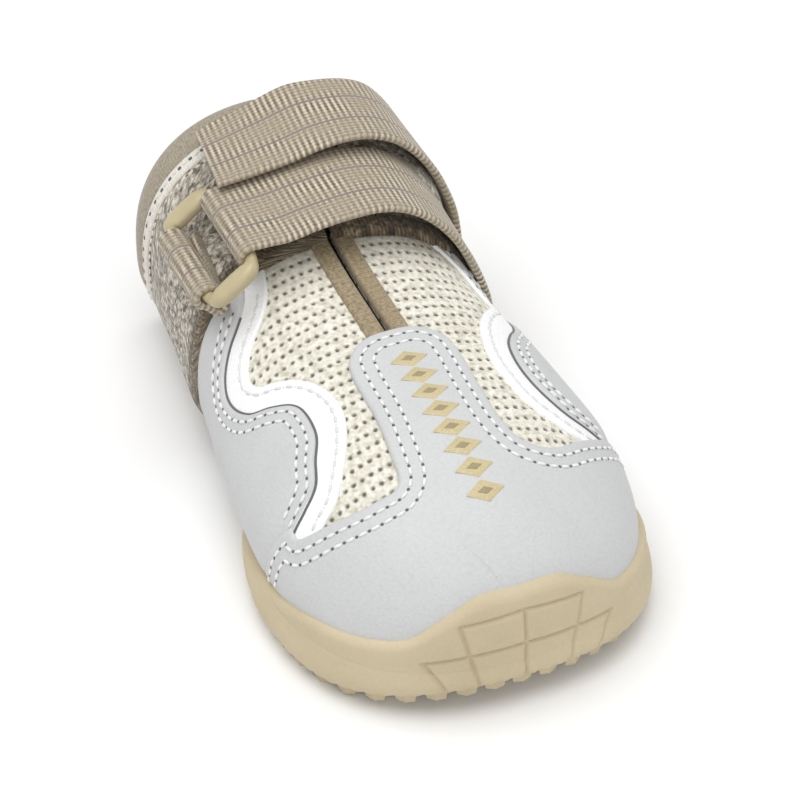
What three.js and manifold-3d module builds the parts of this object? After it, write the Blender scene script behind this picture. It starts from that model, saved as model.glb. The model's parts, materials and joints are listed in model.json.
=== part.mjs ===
// A soft dog boot, empty, standing on its sole: moulded cup outsole, padded insole, hollow upper with a split instep,
// soft shaft that lies back from the heel, two webbing straps and the loop that the front one runs through.
// Units are millimetres. +Z is up, the toe points to -Y, and the loop is on the -X side.
// The origin is on the ground, under the middle of the outsole.
import * as THREE from "three";
import { mergeVertices } from "three/addons/utils/BufferGeometryUtils.js";
import Module from "manifold-3d";

const wasm = await Module();
wasm.setup();

// ---- Driving dimensions ----
const BOOT_LENGTH = 108; // toe of the upper to the collar
const BALL_WIDTH = 58; // upper at its widest
const INSTEP_HEIGHT = 32; // top of the instep above the ground
const TOE_Y = -30; // front of the upper
const SEAM_LOW_Y = 38.4; // where the seam of upper and shaft would meet the ground
const SEAM_LEAN = 0.18; // how far the seam leans back, for each millimetre up
const UPPER_WALL = 1.6;
const SHAFT_WALL = 2.2;
const SHAFT_LOFT = 1; // the shaft's padded fabric stands this much outside the upper
const OVERLAY_WALL = 0.9; // toe cap, side panels and slit bindings
const GAP = 0.3; // clearance between pieces that meet

const SOLE_LENGTH = 65.6;
const SOLE_WIDTH = 63;
const SOLE_TAPER = 0.0036; // share of its width that the sole loses with each millimetre towards the heel
const SOLE_WALL = 2; // rubber of the cup around the upper
const LUG_HEIGHT = 1.6;
const LUG_PITCH = 4.5; // perimeter lugs
const TOE_SPRING = 4.2;
const HEEL_SPRING = 1.2;

const SLIT_START = 22.6; // y of the slit's front end
const SLIT_HALF = 0.7;
const BINDING_WIDTH = 2.8;

const WEBBING_WIDTH = 18;
const WEBBING_THICK = 1.3;
const FRONT_STRAP_Y = 40.2; // front edge of each strap
const REAR_STRAP_Y = 55.4;

const LOOP_Y = 49.2; // middle of the loop
const LOOP_SPAN = 25; // over its end bars
const LOOP_END = 3.2; // width of each end bar
const LOOP_REACH = 9.8; // between the middles of its long bars
const LOOP_BAR = 2; // thickness, and width of each long bar
const LOOP_X = -19.3;
const LOOP_Z = 35.4;
const LOOP_TURN = 0.66; // radians, slope of the loop on the shoulder of the shaft

// ---- The last: one surface for the upper, the shaft and everything that lies on them ----
// One row for each section from the toe to the collar. along is a share of the boot's length, width a share of half
// the ball's width, and top, bottom and waist (where the section is widest) are shares of the instep's height.
// round and under are the exponents of the section's upper and lower half: 2 is an ellipse, and more is squarer.
const SECTIONS = [
  { along: 0.0, width: 0.0, top: 0.34, bottom: 0.34, waist: 0.34, round: 2, under: 3.0 },
  { along: 0.02, width: 0.44, top: 0.62, bottom: 0.2, waist: 0.33, round: 2, under: 3.0 },
  { along: 0.075, width: 0.75, top: 0.79, bottom: 0.145, waist: 0.33, round: 1.9, under: 3.4 },
  { along: 0.165, width: 0.93, top: 0.92, bottom: 0.14, waist: 0.35, round: 1.9, under: 3.8 },
  { along: 0.28, width: 0.995, top: 0.98, bottom: 0.14, waist: 0.38, round: 1.95, under: 3.4 },
  { along: 0.41, width: 0.965, top: 1.0, bottom: 0.145, waist: 0.37, round: 2.05, under: 2.9 },
  { along: 0.53, width: 0.905, top: 1.01, bottom: 0.13, waist: 0.37, round: 2.2, under: 2.9 },
  { along: 0.65, width: 0.835, top: 1.03, bottom: 0.1, waist: 0.4, round: 2.35, under: 2.9 },
  { along: 0.82, width: 0.775, top: 1.12, bottom: 0.09, waist: 0.48, round: 2.35, under: 3.0 },
  { along: 1.0, width: 0.725, top: 1.24, bottom: 0.1, waist: 0.56, round: 2.3, under: 3.0 },
];

function catmullRom(before, a, b, after, t) {
  const slopeA = (b - before) / 2;
  const slopeB = (after - a) / 2;
  const t2 = t * t;
  const t3 = t2 * t;
  return (2 * t3 - 3 * t2 + 1) * a + (t3 - 2 * t2 + t) * slopeA + (3 * t2 - 2 * t3) * b + (t3 - t2) * slopeB;
}

// The row before the toe is the second row mirrored, so that the toe closes in a smooth dome.
const [, SECOND] = SECTIONS;
const TOE_MIRROR = { ...SECOND, width: -SECOND.width, top: SECOND.bottom, bottom: SECOND.top };

function section(u) {
  const last = SECTIONS.length - 1;
  const at = Math.min(Math.max(u, 0), 1) * last;
  const i = Math.min(Math.floor(at), last - 1);
  const before = i === 0 ? TOE_MIRROR : SECTIONS[i - 1];
  const after = SECTIONS[Math.min(i + 2, last)];
  const value = (key) => catmullRom(before[key], SECTIONS[i][key], SECTIONS[i + 1][key], after[key], at - i);
  return {
    y: TOE_Y + BOOT_LENGTH * value("along"),
    halfWidth: (BALL_WIDTH / 2) * Math.max(value("width"), 0),
    top: INSTEP_HEIGHT * value("top"),
    bottom: INSTEP_HEIGHT * value("bottom"),
    waist: INSTEP_HEIGHT * value("waist"),
    round: value("round"),
    under: value("under"),
  };
}

// A point of the last: u runs from the toe to the collar, angle from the +X side up over the top.
function lastPoint(u, angle) {
  const s = section(u);
  const c = Math.cos(angle);
  const n = Math.sin(angle);
  const exponent = n >= 0 ? s.round : s.under;
  const reach = (Math.abs(c) ** exponent + Math.abs(n) ** exponent) ** (-1 / exponent);
  const height = n >= 0 ? s.top - s.waist : s.waist - s.bottom;
  return new THREE.Vector3(s.halfWidth * c * reach, s.y, s.waist + height * n * reach);
}

// The same point moved out along the last's normal.
function offsetPoint(u, angle, offset) {
  if (u <= 0) return lastPoint(0, 0).add(new THREE.Vector3(0, -offset, 0));
  const step = 1e-3;
  const along = lastPoint(u + step, angle).sub(lastPoint(u - step, angle));
  const around = lastPoint(u, angle + step).sub(lastPoint(u, angle - step));
  const normal = along.cross(around).normalize();
  return lastPoint(u, angle).addScaledVector(normal, offset);
}

// ---- Closed meshes and solids ----
// Closed loops of points, joined one to the next, with each end closed by a fan from its middle.
function skin(rings) {
  const count = rings[0].length;
  const points = rings.flat();
  const faces = [];
  for (let i = 0; i + 1 < rings.length; i++) {
    for (let j = 0; j < count; j++) {
      const next = (j + 1) % count;
      const a = i * count + j;
      const b = i * count + next;
      faces.push([a, b, a + count], [b, b + count, a + count]);
    }
  }
  const ends = [
    { start: 0, reversed: true },
    { start: (rings.length - 1) * count, reversed: false },
  ];
  for (const { start, reversed } of ends) {
    const middle = new THREE.Vector3();
    for (let j = 0; j < count; j++) middle.addScaledVector(points[start + j], 1 / count);
    const m = points.push(middle) - 1;
    for (let j = 0; j < count; j++) {
      const a = start + j;
      const b = start + ((j + 1) % count);
      faces.push(reversed ? [b, a, m] : [a, b, m]);
    }
  }
  return facesOut(points, faces);
}

// A mesh whose faces are turned to point outwards, whichever way the points ran.
function facesOut(points, faces) {
  let volume = 0;
  for (const [a, b, c] of faces) volume += points[a].dot(points[b].clone().cross(points[c]));
  const index = faces.flatMap(([a, b, c]) => (volume > 0 ? [a, b, c] : [a, c, b]));
  const geometry = new THREE.BufferGeometry().setFromPoints(points);
  geometry.setIndex(index);
  return geometry;
}

function toSolid(geometry) {
  const bare = geometry.clone();
  bare.deleteAttribute("normal");
  bare.deleteAttribute("uv");
  const merged = mergeVertices(bare, 1e-5);
  return new wasm.Manifold(
    new wasm.Mesh({
      numProp: 3,
      vertProperties: new Float32Array(merged.attributes.position.array),
      triVerts: new Uint32Array(merged.index.array),
    })
  );
}

function toGeometry(solid) {
  const mesh = solid.getMesh();
  const geometry = new THREE.BufferGeometry();
  geometry.setAttribute("position", new THREE.BufferAttribute(new Float32Array(mesh.vertProperties), 3));
  geometry.setIndex(Array.from(mesh.triVerts));
  return geometry;
}

// A block between two corners.
function block(low, high) {
  const size = high.map((value, i) => value - low[i]);
  const middle = high.map((value, i) => (value + low[i]) / 2);
  return toSolid(new THREE.BoxGeometry(...size).translate(...middle));
}

// A plan outline of [x, y] points, from one height up to another.
function prism(outline, bottom, top) {
  const shape = new THREE.Shape(outline.map(([x, y]) => new THREE.Vector2(x, y)));
  const geometry = new THREE.ExtrudeGeometry(shape, { depth: top - bottom, bevelEnabled: false });
  return toSolid(geometry.translate(0, 0, bottom));
}

// A side outline of [y, z] points, from one x across to another.
function sidePrism(outline, left, right) {
  const shape = new THREE.Shape(outline.map(([y, z]) => new THREE.Vector2(y, z)));
  const geometry = new THREE.ExtrudeGeometry(shape, { depth: right - left, bevelEnabled: false });
  const turned = new THREE.Matrix4().makeBasis(
    new THREE.Vector3(0, 1, 0),
    new THREE.Vector3(0, 0, 1),
    new THREE.Vector3(1, 0, 0)
  );
  return toSolid(geometry.applyMatrix4(turned).translate(left, 0, 0));
}

// The last grown by an offset, as a filled solid between two of its stations. Every such solid has its rings at the
// same stations and angles, so that two of them never cross.
const STATIONS = 27;
const AROUND = 28;

function lastSolid(offset, from, to) {
  const rings = [];
  for (let station = from; station <= to; station++) {
    const u = Math.max(station / STATIONS, 0.012);
    rings.push(Array.from({ length: AROUND }, (_, j) => offsetPoint(u, (2 * Math.PI * j) / AROUND, offset)));
  }
  return toSolid(skin(rings));
}

// The share u of the last at a distance y along the boot.
function shareAt(y) {
  let low = 0;
  let high = 1;
  for (let i = 0; i < 24; i++) {
    const middle = (low + high) / 2;
    if (section(middle).y < y) low = middle;
    else high = middle;
  }
  return (low + high) / 2;
}

// A value between the rows of a table, smoothly, for columns at and value.
function between(rows, at) {
  let i = 0;
  while (i + 2 < rows.length && rows[i + 1].at < at) i++;
  const a = rows[i];
  const b = rows[i + 1];
  const t = Math.min(Math.max((at - a.at) / (b.at - a.at), 0), 1);
  const before = i === 0 ? b : rows[i - 1];
  const after = rows[Math.min(i + 2, rows.length - 1)];
  return catmullRom(before.value, a.value, b.value, after.value, t);
}

// ---- Pieces ----
const degrees = Math.PI / 180;
const COLLAR_Y = TOE_Y + BOOT_LENGTH;
const slit = block([-SLIT_HALF, SLIT_START, INSTEP_HEIGHT / 2], [SLIT_HALF, COLLAR_Y + 10, INSTEP_HEIGHT * 2]);

// Everything behind the leaning seam, moved back by a shift.
function behindSeam(shift) {
  const [low, high] = [-20, 70];
  const edge = (z) => [SEAM_LOW_Y + SEAM_LEAN * z + shift, z];
  return sidePrism([edge(low), [COLLAR_Y + 20, low], [COLLAR_Y + 20, high], edge(high)], -60, 60);
}

// A rounded plan outline; round is the exponent, 2 for an ellipse.
function planPoint(turn, halfWidth, halfLength, round) {
  const c = Math.cos(turn);
  const s = Math.sin(turn);
  const reach = (Math.abs(c) ** round + Math.abs(s) ** round) ** (-1 / round);
  return [halfWidth * c * reach, halfLength * s * reach];
}

function planOutline(halfWidth, halfLength, round, count) {
  return Array.from({ length: count }, (_, i) => {
    return planPoint((2 * Math.PI * i) / count, halfWidth, halfLength, round);
  });
}

// How far the tread lifts off the ground towards the toe and, a little, towards the heel.
function spring(y) {
  const toe = Math.max((-14 - y) / 20, 0);
  const heel = Math.max((y - 22) / 12, 0);
  return TOE_SPRING * toe ** 2 + HEEL_SPRING * heel ** 2;
}

// Height of the outsole's top edge. at is the turn in degrees from the toe, seen from above: a bumper over the toe,
// a dip each side of it, and a low edge back to the heel.
const EDGE = [
  { at: 0, value: 20.6 },
  { at: 13, value: 20.3 },
  { at: 24, value: 17.2 },
  { at: 33, value: 13.9 },
  { at: 46, value: 12.6 },
  { at: 62, value: 11.6 },
  { at: 80, value: 9.2 },
  { at: 105, value: 6.6 },
  { at: 130, value: 5.2 },
  { at: 180, value: 4.6 },
];

function edgeHeight(x, y) {
  return between(EDGE, Math.abs(Math.atan2(x, -y)) / degrees);
}

// Everything above the outsole's edge, or below it, as a thick ring round the boot.
const EDGE_REACH = [22, 29, 36, 70];

function edgeSolid(shift, limit) {
  const steps = 44;
  const rings = [];
  for (let i = 0; i <= steps; i++) {
    const turn = (2 * Math.PI * i) / steps;
    const x = Math.sin(turn);
    const y = -Math.cos(turn);
    const height = edgeHeight(x, y) + shift;
    const corners = [...EDGE_REACH.map((r) => [r, height]), [EDGE_REACH[3], limit], [EDGE_REACH[0], limit]];
    rings.push(corners.map(([r, z]) => new THREE.Vector3(x * r, y * r, z)));
  }
  const points = rings.slice(0, steps).flat();
  const faces = [];
  for (let i = 0; i < steps; i++) {
    for (let j = 0; j < 6; j++) {
      const a = i * 6 + j;
      const b = i * 6 + ((j + 1) % 6);
      const c = ((i + 1) % steps) * 6 + j;
      const d = ((i + 1) % steps) * 6 + ((j + 1) % 6);
      faces.push([a, b, c], [b, d, c]);
    }
  }
  return toSolid(facesOut(points, faces));
}

// Rows of the outsole's side from below the tread up: height over the level part of the ground, and how far the
// outline is drawn in.
const SOLE_SIDE = [
  { height: -3, inset: 1.2 },
  { height: 0.9, inset: 1.2 },
  { height: 3, inset: 0 },
  { height: 5.5, inset: 0.1 },
  { height: 8, inset: 1.1 },
  { height: 10.5, inset: 2.6 },
];
const SOLE_ROUND = 2.45;

function taper(y) {
  return 1 - SOLE_TAPER * Math.max(y, 0);
}

function soleBody() {
  const top = SOLE_SIDE[SOLE_SIDE.length - 1].height;
  const rings = SOLE_SIDE.map(({ height, inset }) => {
    const outline = planOutline(SOLE_WIDTH / 2 - inset, SOLE_LENGTH / 2 - inset, SOLE_ROUND, 32);
    const share = Math.min((top - height) / (top - LUG_HEIGHT), 1);
    return outline.map(([x, y]) => new THREE.Vector3(x * taper(y), y, height + spring(y) * share));
  });
  const underside = [[-50, -10]];
  for (let y = -50; y <= 50; y += 4) underside.push([y, LUG_HEIGHT + spring(y)]);
  underside.push([50, -10]);
  return toSolid(skin(rings)).subtract(sidePrism(underside, -50, 50));
}

// One lug of the tread: an outline round its own middle, turned and set down at x, y, from the ground into the sole.
function lug(outline, x, y, turn) {
  const lift = spring(y);
  const solid = prism(outline, lift, lift + LUG_HEIGHT + 1.2);
  return solid.rotate([0, 0, turn / degrees]).translate([x, y, 0]);
}

const PERIMETER_LUG = [[-3.4, -1.6], [0, -1.6], [0.6, 0], [0, 1.6], [-3.4, 1.6]];
const PERIMETER_INSET = 1.9;
const CENTRE_LUG = [[-3.2, -2.6], [0, -4], [3.2, -2.6], [3.2, 2.2], [0, 0.8], [-3.2, 2.2]];
const REST_LUG = planOutline(5, 5, 2, 6);

function outsole() {
  const lugs = [lug(REST_LUG, 0, 0, 0)];
  const halfWidth = SOLE_WIDTH / 2 - PERIMETER_INSET;
  const halfLength = SOLE_LENGTH / 2 - PERIMETER_INSET;
  const count = 2 * Math.round((Math.PI * (halfWidth + halfLength)) / (2 * LUG_PITCH));
  for (let i = 0; i < count; i++) {
    const turn = (2 * Math.PI * (i + 0.5)) / count;
    const [x, y] = planPoint(turn, halfWidth, halfLength, SOLE_ROUND);
    lugs.push(lug(PERIMETER_LUG, x * taper(y), y, turn));
  }
  for (const [row, y] of [-20, -10, 0, 10, 20].entries()) {
    const columns = row % 2 === 0 ? [-18, -9, 0, 9, 18] : [-13.5, -4.5, 4.5, 13.5];
    for (const x of columns) if (x !== 0 || y !== 0) lugs.push(lug(CENTRE_LUG, x, y, 0));
  }
  return soleBody()
    .add(lastSolid(GAP + SOLE_WALL, 0, STATIONS).intersect(block([-40, -40, 3.4], [40, 24, 22])))
    .add(wasm.Manifold.union(lugs))
    .subtract(lastSolid(GAP, 0, STATIONS))
    .subtract(edgeSolid(0, 60));
}

// The insole lies on the outsole's floor, inside the upper's turned-in margin.
const INSOLE_HALF_WIDTH = 20;
const INSOLE_HALF_LENGTH = 24;
const INSOLE_Y = 1;
const INSOLE_BOTTOM = 5.5;
const INSOLE_TOP = 8;

function insole() {
  const outline = planOutline(INSOLE_HALF_WIDTH, INSOLE_HALF_LENGTH, 2.3, 32);
  return prism(outline, INSOLE_BOTTOM, INSOLE_TOP).translate([0, INSOLE_Y, 0]);
}

function upper() {
  const open = planOutline(INSOLE_HALF_WIDTH + GAP, INSOLE_HALF_LENGTH + GAP, 2.3, 32);
  return lastSolid(0, 0, STATIONS)
    .subtract(lastSolid(-UPPER_WALL, 0, STATIONS))
    .subtract(behindSeam(0))
    .subtract(prism(open, 0, INSTEP_HEIGHT * 0.3).translate([0, INSOLE_Y, 0]))
    .subtract(slit);
}

// The shaft's padded outside swells from the seam and rolls in at the collar.
const SHAFT_SWELL = [
  { at: 0, value: 0.1 },
  { at: 0.1, value: 0.8 },
  { at: 0.9, value: 1 },
  { at: 1, value: 0.4 },
];

function shaftRings(wall) {
  const steps = 8;
  const uFrom = shareAt(SEAM_LOW_Y);
  return Array.from({ length: steps + 1 }, (_, i) => {
    const share = i / steps;
    const offset = SHAFT_LOFT * between(SHAFT_SWELL, share) - wall;
    const u = uFrom + (1 - uFrom) * share;
    return Array.from({ length: AROUND }, (_, j) => offsetPoint(u, (2 * Math.PI * j) / AROUND, offset));
  });
}

// The shaft is a tube: its hollow runs out past both of its ends, and the seam cuts its front end to a slant.
function shaft() {
  const hollow = shaftRings(SHAFT_WALL);
  const moved = (ring, distance) => ring.map((point) => point.clone().setY(point.y + distance));
  const through = [moved(hollow[0], -5), ...hollow, moved(hollow[hollow.length - 1], 5)];
  return toSolid(skin(shaftRings(0))).subtract(toSolid(skin(through))).subtract(slit).intersect(behindSeam(GAP));
}

// A strip of the shell between two offsets, cut from the last by a block.
function shellStrip(inner, outer, low, high) {
  const shell = lastSolid(outer, 10, STATIONS).subtract(lastSolid(inner, 9, STATIONS + 1));
  return shell.intersect(block(low, high));
}

const GUSSET_HALF = 9;
const GUSSET_THICK = 0.8;

function gusset() {
  const inner = -SHAFT_WALL - GAP - GUSSET_THICK;
  const low = [-GUSSET_HALF, SLIT_START - 4, 20];
  return shellStrip(inner, inner + GUSSET_THICK, low, [GUSSET_HALF, COLLAR_Y - 4, 60]);
}

// A tape each side of the slit, from the toe cap's tongue to the seam of the shaft.
function binding(side) {
  const reach = [side * SLIT_HALF, side * (SLIT_HALF + BINDING_WIDTH)].sort((a, b) => a - b);
  const low = [reach[0], SLIT_START, 20];
  return shellStrip(GAP, GAP + OVERLAY_WALL, low, [reach[1], COLLAR_Y, 60]).subtract(behindSeam(-GAP));
}

// The skin over the upper that toe cap and side panels are cut from.
function overlayShell() {
  return lastSolid(GAP + OVERLAY_WALL, 0, STATIONS)
    .subtract(lastSolid(GAP, 0, STATIONS))
    .subtract(edgeSolid(3 * GAP, -20))
    .subtract(prism(planOutline(EDGE_REACH[0] + 2, EDGE_REACH[0] + 2, 2, 24), -10, 7))
    .subtract(behindSeam(-GAP));
}

// Edge of the toe cap on the +X side, from the tip of its tongue out to the outsole.
const CAP_EDGE = [
  { x: 0, y: 21.3 },
  { x: 4.6, y: 20.8 },
  { x: 8.1, y: 17.8 },
  { x: 9.1, y: 13.5 },
  { x: 9.4, y: 4 },
  { x: 10.1, y: -3 },
  { x: 11.2, y: -9.2 },
  { x: 15, y: -9.8 },
  { x: 20, y: -8.6 },
  { x: 25.5, y: -5.6 },
  { x: 29, y: -2 },
  { x: 33, y: 2 },
];

function capOutline(grow) {
  const right = CAP_EDGE.map(({ x, y }) => [x, y + grow]);
  const left = right.slice(1).reverse().map(([x, y]) => [-x, y]);
  return [...left, ...right, [45, 2 + grow], [45, -50], [-45, -50], [-45, 2 + grow]];
}

function toeCap() {
  return overlayShell().intersect(prism(capOutline(0), -5, 60));
}

// Upper edge of the side panel, seen from the side: a round rise behind the toe cap, a hollow and a rise to the seam.
const PANEL_EDGE = [
  { y: -6, z: 15 },
  { y: -3.6, z: 20.2 },
  { y: -1.2, z: 24.6 },
  { y: 2.5, z: 27.3 },
  { y: 7.5, z: 28.8 },
  { y: 12.5, z: 28.9 },
  { y: 16.2, z: 28 },
  { y: 19, z: 26.2 },
  { y: 22.5, z: 24 },
  { y: 27, z: 22.5 },
  { y: 31, z: 23 },
  { y: 34.6, z: 25.4 },
  { y: 38, z: 28.8 },
  { y: 42, z: 31.5 },
];

function sidePanel(side) {
  const outline = [...PANEL_EDGE.map(({ y, z }) => [y, z]), [60, 31.5], [60, -10], [-10, -10], [-10, 15]];
  const reach = [side * GAP, side * 60].sort((a, b) => a - b);
  return overlayShell()
    .subtract(prism(capOutline(1.5 * GAP), -5, 60))
    .intersect(sidePrism(outline, reach[0], reach[1]));
}

// ---- Straps and loop ----
// A band of webbing: a path in the plane across the boot at each of a few stations along it, given thickness.
function thickPath(path, y) {
  const half = WEBBING_THICK / 2;
  const sides = [[], []];
  for (let i = 0; i < path.length; i++) {
    const before = path[Math.max(i - 1, 0)];
    const after = path[Math.min(i + 1, path.length - 1)];
    const along = new THREE.Vector2(after[0] - before[0], after[1] - before[1]).normalize();
    sides[0].push(new THREE.Vector3(path[i][0] + along.y * half, y, path[i][1] - along.x * half));
    sides[1].push(new THREE.Vector3(path[i][0] - along.y * half, y, path[i][1] + along.x * half));
  }
  return sides;
}

function bandSolid(frontEdgeY, width, spans, pathAt) {
  const points = [];
  const faces = [];
  const loops = Array.from({ length: spans + 1 }, (_, k) => {
    return thickPath(pathAt(k / spans), frontEdgeY + (width * k) / spans);
  });
  const count = loops[0][0].length;
  const at = (station, side, i) => station * 2 * count + side * count + i;
  for (const [a, b] of loops) points.push(...a, ...b);
  const quad = (a, b, c, d) => faces.push([a, b, c], [a, c, d]);
  for (let k = 0; k < spans; k++) {
    for (let i = 0; i + 1 < count; i++) {
      quad(at(k, 0, i), at(k, 0, i + 1), at(k + 1, 0, i + 1), at(k + 1, 0, i));
      quad(at(k, 1, i + 1), at(k, 1, i), at(k + 1, 1, i), at(k + 1, 1, i + 1));
    }
    quad(at(k, 1, 0), at(k, 0, 0), at(k + 1, 0, 0), at(k + 1, 1, 0));
    quad(at(k, 0, count - 1), at(k, 1, count - 1), at(k + 1, 1, count - 1), at(k + 1, 0, count - 1));
  }
  for (let i = 0; i + 1 < count; i++) {
    quad(at(0, 0, i + 1), at(0, 0, i), at(0, 1, i), at(0, 1, i + 1));
    quad(at(spans, 0, i), at(spans, 0, i + 1), at(spans, 1, i + 1), at(spans, 1, i));
  }
  return toSolid(facesOut(points, faces));
}

// Evenly spaced points of the smooth curve through a few [x, z] points.
function curveThrough(points, steps) {
  const curve = new THREE.SplineCurve(points.map(([x, z]) => new THREE.Vector2(x, z)));
  return curve.getSpacedPoints(steps).map(({ x, y }) => [x, y]);
}

// The lie of a strap part of the way from its front edge to its rear edge.
function lieAt(lie, share, steps) {
  const front = curveThrough(lie.front, steps);
  const rear = curveThrough(lie.rear, steps);
  return front.map(([x, z], i) => [x + (rear[i][0] - x) * share, z + (rear[i][1] - z) * share]);
}

// How each strap lies: the [x, z] points that the middle of the webbing passes at its front and its rear edge. The
// webbing is stiff. It arches clear of the instep, and hangs down beside the shaft on the +X side.
const FRONT_LIE = {
  front: [
    [-12.6, 40.2], [-9, 40.1], [-4, 41], [1, 41.5], [6.2, 41.5], [9.8, 40.7], [13.3, 38.9], [16.8, 35.9],
    [19.7, 32.2], [22.2, 27.9], [24.4, 23], [26.2, 17.5], [26.9, 12], [26.6, 7.5],
  ],
  rear: [
    [-12.6, 40.5], [-8, 40.9], [-3, 41.5], [1, 41.9], [5.1, 42], [10, 41.2], [13.7, 39.6], [17.3, 36.7],
    [20.4, 32.9], [22.8, 28.8], [24.5, 24], [25.5, 18], [25.6, 12], [25.1, 7.5],
  ],
};
const REAR_LIE = {
  front: [
    [-15.4, 42.5], [-11.5, 42.8], [-7, 43.3], [-2.7, 43.9], [2.5, 45], [7, 45.4], [11.4, 44.8], [15.6, 42.9],
    [19.3, 39.6], [22.6, 35], [24.9, 30.2], [26.7, 24.8], [27.6, 18.2], [27.7, 12], [27.2, 8],
  ],
  rear: [
    [-12.8, 40.8], [-8.4, 42.3], [-3.2, 44], [2.2, 45.7], [5.8, 45.8], [11.2, 45], [14.8, 43.8], [17.5, 42],
    [20.4, 38.4], [23, 33.4], [24.6, 28], [25.3, 22], [25.3, 16], [24.9, 11], [24.4, 8],
  ],
};

// A turn of webbing round a bar along Y, from one angle to another.
function roundBar([x, z], from, to, steps) {
  const radius = LOOP_BAR * Math.SQRT1_2 + GAP + WEBBING_THICK / 2;
  return Array.from({ length: steps + 1 }, (_, i) => {
    const angle = from + ((to - from) * i) / steps;
    return [x + radius * Math.cos(angle), z + radius * Math.sin(angle)];
  });
}

const halfReach = [(LOOP_REACH / 2) * Math.cos(LOOP_TURN), (LOOP_REACH / 2) * Math.sin(LOOP_TURN)];
const INNER_BAR = [LOOP_X + halfReach[0], LOOP_Z + halfReach[1]];
const OUTER_BAR = [LOOP_X - halfReach[0], LOOP_Z - halfReach[1]];

function frontStrap() {
  const turn = roundBar(INNER_BAR, LOOP_TURN - 0.6 * Math.PI, -1.5 * Math.PI, 9);
  return bandSolid(FRONT_STRAP_Y, WEBBING_WIDTH, 3, (share) => [...turn, ...lieAt(FRONT_LIE, share, 26)]);
}

function rearStrap() {
  return bandSolid(REAR_STRAP_Y, WEBBING_WIDTH, 3, (share) => lieAt(REAR_LIE, share, 28));
}

// A short tab folded round the loop's outer bar and sewn to the side of the shaft.
const TAB_WIDTH = 17.4;
const TAB_WRAP = [-0.25, 1.3]; // turn of the webbing round the bar, in half turns from the loop's plane
const TAB_ANGLES = [140, 130]; // degrees from the +X side up over the top
const TAB_CLEARANCE = 2.2; // from the last to the middle of the webbing

function loopTab() {
  const [from, to] = TAB_WRAP.map((turns) => LOOP_TURN + turns * Math.PI);
  const turn = roundBar(OUTER_BAR, from, to, 10);
  return bandSolid(LOOP_Y - TAB_WIDTH / 2, TAB_WIDTH, 2, (share) => {
    const u = shareAt(LOOP_Y + TAB_WIDTH * (share - 0.5));
    const sewn = Array.from({ length: 5 }, (_, i) => {
      const angle = TAB_ANGLES[0] + ((TAB_ANGLES[1] - TAB_ANGLES[0]) * i) / 4;
      const point = offsetPoint(u, angle * degrees, TAB_CLEARANCE);
      return [point.x, point.z];
    });
    return [...turn, ...sewn];
  });
}

// A flat frame with rounded corners, round the rectangle that the webbing passes through.
function strapLoop() {
  const corner = 2;
  const frame = new THREE.Shape();
  const halfAlong = LOOP_SPAN / 2;
  const halfAcross = LOOP_REACH / 2 + LOOP_BAR / 2;
  frame.absarc(halfAcross - corner, -halfAlong + corner, corner, -Math.PI / 2, 0, false);
  frame.absarc(halfAcross - corner, halfAlong - corner, corner, 0, Math.PI / 2, false);
  frame.absarc(-halfAcross + corner, halfAlong - corner, corner, Math.PI / 2, Math.PI, false);
  frame.absarc(-halfAcross + corner, -halfAlong + corner, corner, Math.PI, 1.5 * Math.PI, false);
  const hole = new THREE.Path();
  const innerAlong = LOOP_SPAN / 2 - LOOP_END;
  const innerAcross = LOOP_REACH / 2 - LOOP_BAR / 2;
  hole.moveTo(-innerAcross, -innerAlong);
  hole.lineTo(-innerAcross, innerAlong);
  hole.lineTo(innerAcross, innerAlong);
  hole.lineTo(innerAcross, -innerAlong);
  hole.closePath();
  frame.holes.push(hole);
  const geometry = new THREE.ExtrudeGeometry(frame, { depth: LOOP_BAR, bevelEnabled: false, curveSegments: 4 });
  return geometry.translate(0, 0, -LOOP_BAR / 2);
}

// ---- The object ----
const finishes = {
  rubber: new THREE.MeshStandardMaterial({ color: 0xb3a27a, roughness: 0.75, metalness: 0 }),
  foam: new THREE.MeshStandardMaterial({ color: 0x4a453f, roughness: 0.95, metalness: 0 }),
  mesh: new THREE.MeshStandardMaterial({ color: 0xe6ddc8, roughness: 0.9, metalness: 0 }),
  leather: new THREE.MeshStandardMaterial({ color: 0xc9cbcc, roughness: 0.6, metalness: 0 }),
  fabric: new THREE.MeshStandardMaterial({ color: 0x857765, roughness: 0.95, metalness: 0 }),
  webbing: new THREE.MeshStandardMaterial({ color: 0xa89a86, roughness: 0.9, metalness: 0 }),
  tape: new THREE.MeshStandardMaterial({ color: 0x9c8761, roughness: 0.85, metalness: 0 }),
  plastic: new THREE.MeshStandardMaterial({ color: 0xb5a67c, roughness: 0.45, metalness: 0 }),
};

function piece(name, geometry, material) {
  geometry.computeVertexNormals();
  const mesh = new THREE.Mesh(geometry, material);
  mesh.name = name;
  return mesh;
}

const loop = piece("strap_loop", strapLoop(), finishes.plastic);
loop.position.set(LOOP_X, LOOP_Y, LOOP_Z);
loop.rotation.y = -LOOP_TURN;

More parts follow.
